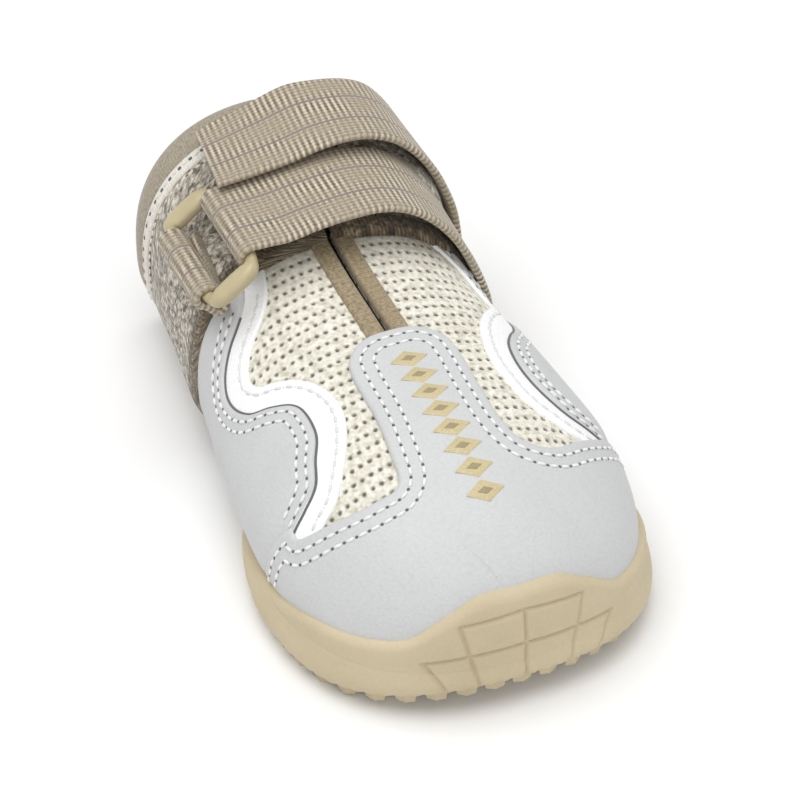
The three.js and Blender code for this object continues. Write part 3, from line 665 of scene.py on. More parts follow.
def level_outlines(offset, headings):
    """Distance from the upright axis to the grown last, for each of LEVELS and each heading. Each section
    ring is cut at the level, where its height passes it, which gives the plan outline at that level; the
    outline is then read at the headings."""
    shares, turns = np.linspace(0.0015, share_at(46.0), 260), np.linspace(0, 180, 241)
    y, turn = np.meshgrid(np.interp(shares, SHARE_TABLE, Y_TABLE), turns, indexing="ij")
    points = on_last(y, turn, offset)
    z = points[..., 2]
    outlines = []
    for level in LEVELS:
        below = z < level
        k = np.maximum(below.argmax(1), 1)
        rows = np.nonzero((z[:, 0] >= level) & below.any(1))[0]
        k = k[rows]
        high, low = points[rows, k - 1], points[rows, k]
        t = ((high[:, 2] - level) / np.maximum(high[:, 2] - low[:, 2], 1e-6))[:, None]
        x, yy, _ = (high + (low - high) * t).T
        outlines.append(np.interp(np.abs(headings), np.arctan2(x, -yy), np.hypot(x, yy)))
    return np.array(outlines)


def at_level(outlines, z):
    """The outlines read at a height for each heading; z has a column for each heading."""
    at = np.clip((z - LEVELS[0]) / (LEVELS[1] - LEVELS[0]), 0, len(LEVELS) - 1.001)
    i = at.astype(int)
    j = np.arange(z.shape[1])[None]
    return outlines[i, j] + (outlines[i + 1, j] - outlines[i, j]) * (at - i)


def groove_depth(x, z, grooves, width):
    """1 on a groove's line and falling off beside it as a bell, for lines given as pairs of (x, z) ends."""
    depth = np.zeros_like(x)
    for (x0, z0), (x1, z1) in grooves:
        run = np.array([x1 - x0, z1 - z0])
        t = np.clip(((x - x0) * run[0] + (z - z0) * run[1]) / (run @ run), 0, 1)
        away = np.hypot(x - x0 - t * run[0], z - z0 - t * run[1])
        depth = np.maximum(depth, np.exp(-((away / width) ** 2)))
    return depth


# Grooves of the toe bumper on its +X half: middle line, top, outer slant, cross line, and the small cell
# beside them.
BUMPER_GROOVES = [
    ((0, 17.6), (0, 5.5)),
    ((0, 17.6), (10.2, 16.6)),
    ((10.2, 16.6), (7.6, 5.5)),
    ((0, 11.8), (8.9, 11.2)),
    ((8.9, 11.2), (15.8, 10.3)),
    ((15.8, 10.3), (12.6, 5.2)),
]

# Growth of the last that the cup's inner and outer walls follow above the sole.
CUP_INSIDE, CUP_OUTSIDE = 1.0, 2.3
# Height over which the wall rounds in to the leather at its top edge.
LIP_ROUND = 1.5
GROOVE_DEPTH, GROOVE_WIDTH = 0.5, 0.3
FLUTE_DEPTH, FLUTE_HEIGHT = 0.4, 2.6
CUP_FLOOR, HEEL_FLOOR_DROP = 4.2, 1.2
# How far the underside hangs below the foot of the wall.
UNDER_DROP = 0.02
# Degrees on each side of the toe over which the headings lie close, for the bumper's grooves.
BUMPER_HALF = 30


def cup_wall(signed, foot, lip, tight):
    """The wall's outer radius and its height, for each heading at shares of the way from foot to lip. It
    takes the larger of the sole's outline and the grown last, with a small fillet where they meet, and
    rounds in at the top. Behind the middle the sole's outline alone counts."""
    share = np.concatenate([np.linspace(0, 0.93, 74), 1 - 0.07 * np.cos(np.linspace(0, np.pi / 2, 9))[1:]])
    z = foot + (lip - foot) * share[:, None]
    lift = foot - LUG_HEIGHT
    height = (z - lift * SOLE_TOP / (SOLE_TOP - LUG_HEIGHT)) / (1 - lift / (SOLE_TOP - LUG_HEIGHT))
    body = plan_radius(signed, between(SOLE_SIDE, np.clip(height, -3, SOLE_TOP)))
    body = np.where(height > SOLE_TOP, body - 1.6 * (height - SOLE_TOP), body)
    inner_wall, outer_wall = at_level(tight, z), at_level(level_outlines(CUP_OUTSIDE, signed), z)
    behind = smooth_step(1.9, 2.25, np.abs(signed))
    inner_wall = inner_wall * (1 - behind) + np.minimum(inner_wall, body - 1.2) * behind
    outer_wall = outer_wall * (1 - behind) + np.minimum(outer_wall, body) * behind
    wall = np.maximum(body, outer_wall) + 0.25 * np.exp(-(((body - outer_wall) / 0.8) ** 2))
    closing = np.clip((lip - z) / LIP_ROUND, 0, 1)
    return inner_wall + (wall - inner_wall) * np.sqrt(1 - (1 - closing) ** 2), z


def outsole():
    """The rubber cup. Around the upright axis each heading has the same profile: the underside out from the
    middle, the wall up to the lip, the inner wall back down the last and the floor in to the middle. The
    bumper's grooves and the fluted foot are taken off the wall's radius."""
    front = np.radians(np.arange(-BUMPER_HALF, BUMPER_HALF + 0.01, 0.33))
    rest = np.radians(np.linspace(BUMPER_HALF, 360 - BUMPER_HALF, 361))[1:-1]
    signed = (np.concatenate([front, rest]) + np.pi) % (2 * np.pi) - np.pi
    tight = level_outlines(CUP_INSIDE, signed)
    lip = between(LIP_HEIGHTS, np.degrees(np.abs(signed)))
    foot = LUG_HEIGHT + spring(-plan_radius(signed, 1.2) * np.cos(signed))
    radius, z = cup_wall(signed, foot, lip, tight)
    x = radius * np.sin(signed)
    grooves = groove_depth(np.abs(x), z, BUMPER_GROOVES, GROOVE_WIDTH) * (np.cos(signed) > 0.7)
    run = signed * (SOLE_WIDTH + SOLE_LENGTH) / 4
    flute = np.abs(((run / (LUG_PITCH / 2)) % 1) * 2 - 1)
    low = np.clip(1 - (z - foot) / FLUTE_HEIGHT, 0, 1)
    radius = radius - GROOVE_DEPTH * grooves - FLUTE_DEPTH * flute * low**1.5
    under_radius = radius[0] * np.concatenate([np.linspace(0.04, 0.9, 16), [0.955, 0.985]])[:, None]
    under_z = LUG_HEIGHT - UNDER_DROP + spring(-under_radius * np.cos(signed))
    floor_z = CUP_FLOOR - HEEL_FLOOR_DROP * smooth_step(0, 34, -np.cos(signed) * plan_radius(signed, 6))
    inner_z = lip + (floor_z - lip) * np.linspace(0, 1, 9)[1:, None]
    inside = plan_radius(signed, 2.6) - 0.2 + 3 * (inner_z > SOLE_TOP)
    inner_radius = np.minimum(at_level(tight, inner_z), inside)
    floor_radius = inner_radius[-1] * np.linspace(0.9, 0.04, 8)[:, None]
    rings = [(under_radius, under_z), (radius, z), (inner_radius, inner_z), (floor_radius, floor_z)]
    points, faces = tube(np.concatenate([around(signed, *ring) for ring in rings]))
    return build("outsole_cup", points, faces, RUBBER, "sole_rubber", ["outsole"], crease=50)


def blocks(outline, heights, shrink, places):
    """Copies of one small block: an outline of (x, y) points repeated at a few heights, drawn in by a share
    at each, then turned and set down. places has rows of x, y, turn in radians and lift."""
    outline = np.asarray(outline, float)
    layers = [np.column_stack([outline * s, np.full(len(outline), h)]) for h, s in zip(heights, shrink)]
    points, faces = tube(np.array(layers))
    x, y, turn, lift = np.asarray(places, float).T[:, :, None]
    spun_x = points[:, 0] * np.cos(turn) - points[:, 1] * np.sin(turn) + x
    spun_y = points[:, 0] * np.sin(turn) + points[:, 1] * np.cos(turn) + y
    every = np.stack([spun_x, spun_y, points[:, 2] + lift], -1).reshape(-1, 3)
    return every, repeated(faces, len(places), len(points))


PERIMETER_LUG = [(-3.4, -1.6), (0, -1.6), (0.6, 0), (0, 1.6), (-3.4, 1.6)]
CENTRE_LUG = [(-3.2, -2.6), (0, -4), (3.2, -2.6), (3.2, 2.2), (0, 0.8), (-3.2, 2.2)]
# Heights of a lug's rings and their share of its outline, from the ground up into the cup.
LUG_LAYERS = (0, 0.25, 1.3, 2.8), (0.88, 0.97, 1.0, 1.0)
# The chevrons' rows along the boot, and their places across it in the first, third and fifth row and
# between.
LUG_ROWS = (-20, -10, 0, 10, 20)
LUG_COLUMNS = ([-18, -9, 0, 9, 18], [-13.5, -4.5, 4.5, 13.5])
REST_RADIUS = 5.0


def tread():
    """The lugs: pointed ones round the edge at equal turns, chevrons in staggered rows, and a hexagon that
    the boot rests on in the middle."""
    half_width, half_length = SOLE_WIDTH / 2 - 1.9, SOLE_LENGTH / 2 - 1.9
    count = 2 * round(math.pi * (half_width + half_length) / (2 * LUG_PITCH))
    turn = 2 * np.pi * (np.arange(count) + 0.5) / count
    reach = reach_of(np.cos(turn), np.sin(turn), SOLE_ROUND)
    y = half_length * np.sin(turn) * reach
    x = half_width * np.cos(turn) * reach * taper(y)
    rim = blocks(PERIMETER_LUG, *LUG_LAYERS, np.column_stack([x, y, turn, spring(y)]))
    rows = [(x0, y0) for row, y0 in enumerate(LUG_ROWS) for x0 in LUG_COLUMNS[row % 2] if x0 or y0]
    chevrons = blocks(CENTRE_LUG, *LUG_LAYERS, [(x0, y0, 0, spring(y0)) for x0, y0 in rows])
    sixth = np.arange(6) * np.pi / 3
    hexagon = REST_RADIUS * np.column_stack([np.cos(sixth), np.sin(sixth)])
    lugs = joined([rim, chevrons, blocks(hexagon, *LUG_LAYERS, [(0, 0, 0, 0)])])
    return build("outsole_tread", *lugs, RUBBER, "sole_rubber", crease=30)


# ---- Upper and what lies on it ----
SLIT_START = 22.6
SLIT_HALF = 0.7
UPPER_WALL = 1.6
# The mesh's holes are pits behind this y, and out to this distance from the top the columns are fine.
PITS_FROM = -14.0
PIT_DEPTH = 0.34
FINE_RUN = 38.0


def around_by_length(y, side_lengths):
    """Turns at given distances from the top, measured round each section: the section's length is summed
    over fine turns and read backwards."""
    turns = np.linspace(0, 180, 721)
    points = on_last(y[:, None], turns[None])
    steps = np.linalg.norm(np.diff(points, axis=1), axis=-1)
    run = np.concatenate([np.zeros((len(y), 1)), np.cumsum(steps, 1)], 1)
    return np.stack([np.interp(s, r, turns) for s, r in zip(side_lengths, run)]), run[:, -1]


def dot_depth(across, along):
    """1 in the middle of each hole of the mesh and 0 outside it, a round pit."""
    depth = 0
    for shift in (0.5, 1.0):
        a = ((across / DOT_ACROSS + shift) % 1 - 0.5) * DOT_ACROSS
        b = ((along / DOT_ALONG + shift) % 1 - 0.5) * DOT_ALONG
        depth = np.maximum(depth, np.clip(1 - (np.hypot(a, b) / (DOT_RADIUS + 0.2)) ** 2, 0, 1))
    return depth


def upper():
    """The mesh upper, a sheet from one side of the slit under the boot to the other. Its columns are at
    equal distances round the section from the slit to below the widest part, then at equal shares of what
    is left, and each hole of the mesh is a small pit."""
    toe = np.linspace(TOE_Y + 0.05, PITS_FROM, 24)[:-1]
    y = np.concatenate([toe, np.arange(PITS_FROM, 47.0, DOT_ALONG / 12)])
    slit = SLIT_HALF * smooth_step(SLIT_START - 1.5, SLIT_START + 0.6, y) + 0.02
    total = around_by_length(y, np.zeros((len(y), 1)))[1]
    fine = np.minimum(FINE_RUN, 0.8 * total)
    near = np.arange(0, FINE_RUN + 0.01, DOT_ACROSS / 5) / FINE_RUN
    side = np.maximum(near[None] * fine[:, None], slit[:, None])
    rest = fine[:, None] + (total - fine)[:, None] * np.linspace(0, 1, 12)[None, 1:]
    run = np.concatenate([side, rest], 1)
    turn = around_by_length(y, run)[0]
    turn = np.concatenate([turn, -turn[:, -2::-1]], 1)
    run = np.concatenate([run, -run[:, -2::-1]], 1)
    along = np.broadcast_to(y[:, None], turn.shape)
    pits = dot_depth(run, along) * smooth_step(PITS_FROM - 2, PITS_FROM + 1, along)
    outer = on_last(along, turn, -PIT_DEPTH * pits)
    inner = on_last(along, turn, -UPPER_WALL)
    weave = sheet_weave(run, along)
    return build("upper_mesh", *closed_sheet(outer, inner), MESH, "upper_mesh", ["upper"], weave, crease=75)


def lip_profile(distance, radius):
    """Share of the full thickness at a distance in from an edge: a quarter round."""
    t = np.clip(distance / radius, 0, 1)
    return np.sqrt(1 - (1 - t) ** 2)


ROW_SHARES = np.concatenate([[0, 0.002, 0.005, 0.01, 0.017, 0.026, 0.04, 0.06], np.linspace(0.09, 1, 34)])


def patch(name, edge, root, thickness, base, material, slot, replaces, radius=0.7, shares=ROW_SHARES):
    """A skin on the last between two curves of (y, turn), straight between them in y and turn. Its
    thickness rises in a quarter round from the edge."""
    t = shares[:, None, None]
    grid = edge[None] * (1 - t) + root[None] * t
    y, turn = grid[..., 0], grid[..., 1]
    flat = on_last(y, turn)
    away = distance_to(flat, flat[0])
    height = thickness(y, turn) if callable(thickness) else thickness
    outer = on_last(y, turn, base + height * lip_profile(away, radius))
    inner = on_last(y, turn, base - 0.25)
    points, faces = closed_sheet(outer, inner)
    return build(name, points, faces, material, slot, replaces, crease=75)


# Edge of the toe cap on the -X and on the +X side: (y, x) from the tip of its tongue, then (y, z) down the
# side.
CAP_TOP = {
    -1: [(21.3, 0.0), (20.8, 4.6), (17.8, 8.1), (13.5, 9.1), (4.0, 9.4), (-3.0, 10.1), (-9.2, 11.2),
         (-9.8, 15.0), (-8.6, 20.0), (-5.6, 25.5)],
    1: [(21.3, 0.0), (20.8, 4.5), (17.8, 7.8), (13.5, 8.6), (4.0, 8.2), (-3.0, 8.3), (-7.9, 9.8),
        (-9.3, 14.0), (-7.2, 19.0), (-4.2, 24.2)],
}
CAP_SIDE = [(-2.8, 19.8), (-1.0, 15.0), (0.3, 10.4), (1.2, 6.4)]
# Where the leather inward of each of those points ends. Below 0 it is a distance in mm up the middle line
# from the rubber, and above 0 the heading in degrees from the toe at which it goes under the rubber.
CAP_FEET = [-43.5, -43, -40.5, -36, -26, -15, -3, 8, 30, 50, 66, 78, 87, 94]


def cap_edge(side):
    """The toe cap's edge on one side as rows of (y, turn)."""
    y, x = np.array(CAP_TOP[side]).T
    side_y, side_z = np.array(CAP_SIDE).T
    over, beside = turn_over(x, y), turn_beside(side_y, side_z)
    return np.column_stack([np.concatenate([y, side_y]), side * np.concatenate([over, beside])])


def round_toe(headings, z):
    """The (y, turn) of the last at a height and a heading in degrees from the toe. At each y the section's
    half width at the height gives a heading, and the wanted one is read between them."""
    y = np.linspace(TOE_Y + 0.02, 36, 1600)[:, None]
    _, half_width, top, bottom, waist, over, under = section(share_at(y))
    rise = (z - waist) / np.where(z >= waist, top - waist, waist - bottom)
    power = np.where(z >= waist, over, under)
    inside = np.abs(rise) < 1
    across = half_width * np.where(inside, 1 - np.minimum(np.abs(rise), 1) ** power, 0) ** (1 / power)
    seen = np.degrees(np.arctan2(across, -y))
    found = []
    for j, heading in enumerate(headings):
        rows = np.nonzero(inside[:, j])[0][0]
        found.append(np.interp(heading, np.maximum.accumulate(seen[rows:, j]), y[rows:, 0]))
    found = np.array(found)
    return np.column_stack([found, turn_beside(found, z)])


def cap_curves():
    """The cap's whole edge, evenly spaced, and for each point the foot of its strip under the rubber's
    edge."""
    edge = np.concatenate([cap_edge(-1)[:0:-1], cap_edge(1)])
    fine = through(np.column_stack([edge, CAP_FEET[:0:-1] + CAP_FEET]), 2400)
    fine = evenly(fine, on_last(fine[:, 0], fine[:, 1]), 760)
    headings = np.maximum(fine[:, 2], 0)
    foot = round_toe(headings, between(LIP_HEIGHTS, headings) - 2.6)
    foot[:, 0] += np.maximum(-fine[:, 2], 0)
    foot[:, 1] *= np.sign(fine[:, 1]) * (fine[:, 2] > 0)
    return fine[:, :2], foot


# Upper edge of the side panel and, outside it, the mesh-side edge of the piping, both as (turn, y) from the
# toe, on the -X and on the +X side.
PANEL_EDGE = {
    -1: [(84, -6.5), (68, -4.2), (57, -3), (48, -1), (43, 3), (38.5, 7), (38, 12), (40.5, 15.4),
         (48, 18.3), (57, 21), (63, 25), (65, 29), (62, 32.5), (55, 35.5), (47, 38), (40.5, 41), (37, 46)],
    1: [(84, -6.5), (68, -4.4), (56, -3), (46, -1), (40, 2.6), (37.5, 7), (37.8, 11.5), (40.5, 16),
        (46, 19.5), (53, 22.5), (60, 26), (66, 29.5), (70, 33), (70, 36), (65, 39), (57, 42), (48, 46)],
}
PIPING_EDGE = {
    -1: [(76, -8.6), (62, -8.2), (53, -7), (45, -5.5), (37.5, -2), (31, 2.5), (27, 7.7), (27, 12.5),
         (30.5, 17), (36, 20.2), (43, 22.5), (49, 24.2), (52, 27), (50, 30), (44.5, 33), (37, 36),
         (31.5, 40), (28, 46)],
    1: [(76, -8.6), (62, -8), (53, -6.6), (43.5, -5), (34.5, -1.6), (29.6, 2.4), (28, 8), (28.5, 13),
        (31.5, 18), (35.5, 21.8), (41, 25), (47.5, 27.6), (54.5, 30), (59, 33), (60, 36), (57, 39),
        (49, 42.3), (38.5, 46)],
}


def edge_rows(table, side):
    """A table of (turn, y) as rows of (y, turn) on one side of the boot."""
    return np.array([(y, side * turn) for turn, y in table], float)


PANEL_FOOT_Y = -9.0


def panel_curves(side):
    """The panel's edge, evenly spaced, and its foot under the rubber. The foot goes back partly with the
    length run along the edge and partly with the edge's own y."""
    edge = surface_curve(edge_rows(PANEL_EDGE[side], side), 520)
    first, last = edge[0, 0], edge[-1, 0]
    share = 0.35 * np.linspace(0, 1, len(edge)) + 0.65 * (edge[:, 0] - first) / (last - first)
    foot_y = PANEL_FOOT_Y + (last - PANEL_FOOT_Y) * share
    foot_turn = side * (114 + 16 * smooth_step(PANEL_FOOT_Y, 30, foot_y))
    return edge, np.column_stack([foot_y, foot_turn])


def panel_height(y, turn):
    """Thickness of a panel: full between the toe cap and the seam, thin where it runs under either."""
    return (0.45 + 0.6 * smooth_step(-2.2, 2.4, y)) * (1 - 0.8 * smooth_step(0.6, 2.2, y - seam_y(turn)))


# Gap between the last and the underside of panels and piping, the same for the cap, and thicknesses.
OVERLAY_LIFT = 0.12
CAP_BASE, CAP_THICK = 0.15, 0.95
PIPING_THICK = 0.42
# Radius and height over the last of the thin dark line along each panel's edge, a painted shadow of the
# panel on the piping.
SHADOW_LINE_RADIUS, SHADOW_LINE_LIFT = 0.24, 0.55
# Distances of the rows of stitches from the edges of cap, panels and piping.
CAP_SEAMS, PANEL_SEAMS, PIPING_SEAMS = (2.0, 4.0), (1.4, 3.1), (1.5,)


def panel_top(y, turn):
    """Height of a panel's surface over the last."""
    return OVERLAY_LIFT + panel_height(y, turn)


# ---- Stitches ----
def bead(length, width, height, around=6, size=(0.35, 0.85, 1.0, 0.85, 0.35)):
    """A stitch lying along X: five rings, sized to round its ends and flattened to its height."""
    t = np.array([0.0, 0.18, 0.5, 0.82, 1.0])
    size = np.array(size)
    angle = np.arange(around) * 2 * np.pi / around
    x = np.broadcast_to(((t - 0.5) * length)[:, None], (len(t), around))
    y = size[:, None] * np.cos(angle) * width / 2
    z = size[:, None] * np.sin(angle) * height / 2
    return tube(np.stack([x, y, z], -1))


def set_along(shape, centres, along, up):
    """Copies of a small shape at centres, its X laid along one direction and its Z along another."""
    points, faces = shape
    along = unit(along)
    across = unit(np.cross(up, along))
    up = np.cross(along, across)
    axes = np.stack([along, across, up], 1)
    turned = np.einsum("pk,nkc->npc", points, axes)
    every = (centres[:, None] + turned).reshape(-1, 3)
    return every, repeated(faces, len(centres), len(points))


def seam(curve, offset, pitch, shift=0.0, trim=0.0):
    """Places of stitches along a curve of (y, turn): centres, directions and normals at a pitch in mm."""
    base = on_last(curve[:, 0], curve[:, 1])
    run = lengths(base)
    at = np.arange(trim + pitch * (0.5 + shift), run[-1] - trim, pitch)
    y, turn = (np.interp(at, run, curve[:, k]) for k in (0, 1))
    step = np.minimum(0.4, pitch / 3)
    ahead, behind = ([np.interp(at + s, run, curve[:, k]) for k in (0, 1)] for s in (step, -step))
    along = on_last(*ahead) - on_last(*behind)
    height = offset(y, turn) if callable(offset) else offset
    return on_last(y, turn, height), along, last_normal(y, turn)


def inset_curve(edge, distance, toward):
    """A curve of (y, turn) run beside an edge at a distance in mm, on the side given by toward, 1 or -1.
    Each point moves across the edge's own direction on the last, and the step is worked out in y and turn.
    Inside a tight bend, points that come too close to another part of the edge are left out."""
    points = on_last(edge[:, 0], edge[:, 1])
    along = unit(np.gradient(points, axis=0))
    across = toward * np.cross(last_normal(edge[:, 0], edge[:, 1]), along)
    step_y = (on_last(edge[:, 0] + 0.2, edge[:, 1]) - on_last(edge[:, 0] - 0.2, edge[:, 1])) / 0.4
    step_turn = (on_last(edge[:, 0], edge[:, 1] + 0.5) - on_last(edge[:, 0], edge[:, 1] - 0.5)) / 1.0
    yy, yt, tt = (step_y * step_y).sum(-1), (step_y * step_turn).sum(-1), (step_turn * step_turn).sum(-1)
    ry, rt = (step_y * across).sum(-1), (step_turn * across).sum(-1)
    det = yy * tt - yt * yt
    move = np.column_stack([(ry * tt - rt * yt) / det, (rt * yy - ry * yt) / det])
    moved = edge + distance * move
    gap = np.linalg.norm(on_last(moved[:, 0], moved[:, 1])[:, None] - points[None], axis=-1).min(1)
    return moved[gap > 0.93 * distance]


STITCH_PITCH = 2.1
# Length, width and height of a stitch and of a needle hole.
STITCH, HOLE = (1.35, 0.62, 0.5), (0.55, 0.52, 0.14)


def stitch_rows(name, edge, toward, offset, insets, trim, thread=WHITE_THREAD, hole=NEEDLE_HOLE):
    """Rows of stitches beside an edge, with the needle holes between the stitches. Each row is half a pitch
    on from the row before."""
    stitches, holes = [], []
    for row, inset in enumerate(insets):
        curve = inset_curve(edge, inset, toward)
        centres, along, up = seam(curve, offset, STITCH_PITCH, 0.5 * row, trim)
        stitches.append(set_along(bead(*STITCH), centres + 0.06 * up, along, up))
        centres, along, up = seam(curve, offset, STITCH_PITCH, 0.5 * row + 0.5, trim)
        holes.append(set_along(bead(*HOLE, 8), centres + 0.01 * up, along, up))
    build(name + "_stitches", *joined(stitches), thread, "overlay_leather", crease=180)
    build(name + "_needle_holes", *joined(holes), hole, "overlay_leather", crease=180)


def painted_shadow(name, curve, offset, radius, material):
    """A thin cord along a curve of (y, turn): a circle at each point, square to the curve, at a height over
    the last."""
    centres = on_last(curve[:, 0], curve[:, 1], offset)
    up = last_normal(curve[:, 0], curve[:, 1])
    across = unit(np.cross(up, np.gradient(centres, axis=0)))
    angle = np.arange(8)[:, None] * np.pi / 4
    circle = np.cos(angle) * across[:, None] + np.sin(angle) * up[:, None]
    build(name, *tube(centres[:, None] + radius * circle), material, "overlay_leather", crease=180)


MOTIF_FIRST_Y, MOTIF_LAST_Y, MOTIF_COUNT = 13.2, -15.8, 8
# Width, length and height of a rhombus and of its middle, and the share of its length at each of its rings.
RHOMBUS, RHOMBUS_MIDDLE = (6.2, 4.0, 0.5), (2.6, 1.6, 0.4)
RHOMBUS_RINGS = (0.03, 0.36, 1.0, 0.36, 0.03)


def motif():
    """A plain row of satin-stitched rhombi down the middle of the toe cap's tongue, each drawn twice: a
    pale outline and a smaller raised middle."""
    y = np.linspace(MOTIF_FIRST_Y, MOTIF_LAST_Y, MOTIF_COUNT)
    centres, up = on_last(y, 0.0, CAP_BASE + CAP_THICK), last_normal(y, 0.0)
    across = np.broadcast_to([1.0, 0.0, 0.0], centres.shape)
    outline = set_along(bead(*RHOMBUS, 8, RHOMBUS_RINGS), centres, across, up)
    middle = set_along(bead(*RHOMBUS_MIDDLE, 8, RHOMBUS_RINGS), centres + 0.16 * up, across, up)
    build("tongue_motif", *outline, GOLD_THREAD, "overlay_leather", crease=25)
    build("tongue_motif_middles", *middle, KHAKI_THREAD, "overlay_leather", crease=25)


def overlays():
    """Toe cap, side panels, piping, their seams and a thin painted shadow line along each panel's edge."""
    edge, foot = cap_curves()
    patch("toe_cap_leather", edge, foot, CAP_THICK, CAP_BASE, LEATHER, "overlay_leather", ["toe_cap"])
    stitch_rows("toe_cap", edge, -1, CAP_BASE + CAP_THICK, CAP_SEAMS, trim=4.5)
    piping_shares = np.concatenate([[0, 0.01, 0.025, 0.05, 0.08], np.linspace(0.12, 1, 14)])
    for side, word in ((-1, "left"), (1, "right")):
        panel_edge, panel_foot = panel_curves(side)
        patch(f"panel_{word}_leather", panel_edge, panel_foot, panel_height, OVERLAY_LIFT, LEATHER,
              "overlay_leather", [f"side_panel_{word}"])
        stitch_rows(f"panel_{word}", panel_edge, -side, panel_top, PANEL_SEAMS, 7.0)
        outer = surface_curve(edge_rows(PIPING_EDGE[side], side), 420)
        under = inset_curve(panel_edge, 1.0, -side)
        under = evenly(under, on_last(under[:, 0], under[:, 1]), 420)
        patch(f"piping_{word}", outer, under, PIPING_THICK, OVERLAY_LIFT, PIPING, "overlay_leather", (),
              0.45, piping_shares)
        stitch_rows(f"piping_{word}", outer, -side, 0.5, PIPING_SEAMS, 6.0, PALE_THREAD, PALE_THREAD)
        # A thin dark line beside the panel's edge: painted shadow of the panel's thickness on the piping.
        painted_shadow(f"panel_{word}_cord", panel_edge[30:-60], SHADOW_LINE_LIFT, SHADOW_LINE_RADIUS, PAINTED_SHADOW_LINE)
    motif()


# ---- Slit tapes, gusset, insole ----
# Width of a tape across the boot, and its start from the middle line.
TAPE_WIDTH = 3.15
TAPE_START = SLIT_HALF - 0.25
GUSSET_HALF = 9.0
GUSSET_THICK = 0.7
INSOLE_HALF_WIDTH, INSOLE_HALF_LENGTH, INSOLE_ROUND = 20.0, 24.0, 2.3
# The insole's rings from the middle of its top, round its border, to the middle of its underside: each
# ring's share of the full plan and its height.
INSOLE_RINGS = [(0.06, 7.55), (0.2, 7.56), (0.4, 7.6), (0.6, 7.68), (0.75, 7.8), (0.86, 7.92), (0.93, 7.98),
                (0.97, 7.9), (0.99, 7.7), (1.0, 7.4), (1.0, 6.0), (0.99, 5.6), (0.9, 5.55), (0.06, 5.55)]


def slit_tapes():
    """A flat tape each side of the slit, rounded over at both edges, that follows the last from the toe
    cap's tongue to under the shaft."""
    y = np.linspace(SLIT_START - 4.5, seam_y(np.array(0.0)) + 2.5, 120)
    half = [0, 0.03, 0.08, 0.16, 0.28]
    across = np.concatenate([half, np.linspace(0.4, 0.6, 4), 1 - np.array(half)[::-1]])
    away = np.minimum(across, 1 - across)[:, None] * TAPE_WIDTH
    for side, word in ((-1, "left"), (1, "right")):
        x = side * (TAPE_START + TAPE_WIDTH * across)
        xx, yy = np.broadcast_arrays(x[:, None], y[None])
        turn = turn_over(xx, yy)
        outer = on_last(yy, turn, 0.05 + 0.75 * lip_profile(away, 0.55))
        tape = closed_sheet(outer, on_last(yy, turn, -0.5))
        build(f"slit_tape_{word}", *tape, SLIT_TAPE, "binding_tape", [f"slit_binding_{word}"],
              sheet_weave(xx, yy))


def gusset():
    """The bellows behind the slit: a strip under the last with a shallow fold down its middle."""
    along = np.linspace(SLIT_START - 4, COLLAR_Y - 4, 60)
    y, x = np.meshgrid(along, np.linspace(-GUSSET_HALF, GUSSET_HALF, 41))
    turn = turn_over(x, y)
    sink = -2.6 - 0.9 * np.exp(-((x / 1.6) ** 2))
    strip = closed_sheet(on_last(y, turn, sink), on_last(y, turn, sink - GUSSET_THICK))
    build("gusset_fold", *strip, GUSSET_KNIT, "gusset_fabric", ["gusset"], sheet_weave(x, y))


def insole():
    """The footbed: a superellipse in plan that is slightly cupped at its edge, with a rolled border."""
    turn = np.linspace(0, 2 * np.pi, 97)[:-1]
    reach = reach_of(np.cos(turn), np.sin(turn), INSOLE_ROUND)[:, None]
    plan = reach * np.column_stack([INSOLE_HALF_WIDTH * np.cos(turn), INSOLE_HALF_LENGTH * np.sin(turn)])
    rings = np.stack([np.column_stack([plan * share, np.full(len(plan), z)]) for share, z in INSOLE_RINGS])
    rings[..., 1] += 1
    points, faces = tube(rings)
    build("insole_pad", points, faces, INSOLE_CLOTH, "insole_foam", ["insole"], points[:, :2], crease=180)


# ---- Shaft and its rim ----
# Height of the padded shaft over the last, by the distance from its front edge in mm.
SHAFT_LOFT = [(0, 0.45), (0.5, 1.2), (1.2, 1.6), (3, 1.8), (20, 1.8), (30, 1.5), (38, 1.0)]
SEAM_GAP = 0.5
SHAFT_END = COLLAR_Y - 0.2


def shaft_grid(count):
    """Distances from the shaft's front edge, and the (y, turn) grid of its rows and columns. The rows start
    at the leaning seam and end together at the collar; the columns run round from one side of the slit to
    the other."""
    away = np.concatenate([[0, 0.06, 0.18, 0.36, 0.6, 0.95, 1.4], np.linspace(2, 36, 104)])
    share = away / away[-1]
    top = seam_y(np.array(0.0)) + SEAM_GAP
    start = turn_over(np.full_like(away, SLIT_HALF), top + share * (SHAFT_END - top))
    turn = start[:, None] + (360 - 2 * start[:, None]) * np.linspace(0, 1, count)
    front = seam_y(turn) + SEAM_GAP
    return away, front + share[:, None] * (SHAFT_END - front), turn


SWELL_HEIGHT = 0.09
FOLD_TURN, FOLD_SPREAD, FOLD_HEIGHT = 46.0, 24.0, 4.2


def pucker(y, turn):
    """Slow swells of the padded cloth, a sum of three waves along and round it, and a bell-shaped fold
    pushed up under the rear band on the +X shoulder."""
    phases = (0.31 * y + 0.05 * turn, 0.0935 * turn - 0.23 * y + 1.3, 0.11 * turn + 0.5)
    swells = sum(np.sin(phase) for phase in phases)
    across = np.exp(-(((turn - FOLD_TURN) / FOLD_SPREAD) ** 2))
    along = smooth_step(49, 59, y) * (1 - smooth_step(63, 75, y))
    return SWELL_HEIGHT * swells + FOLD_HEIGHT * across * along


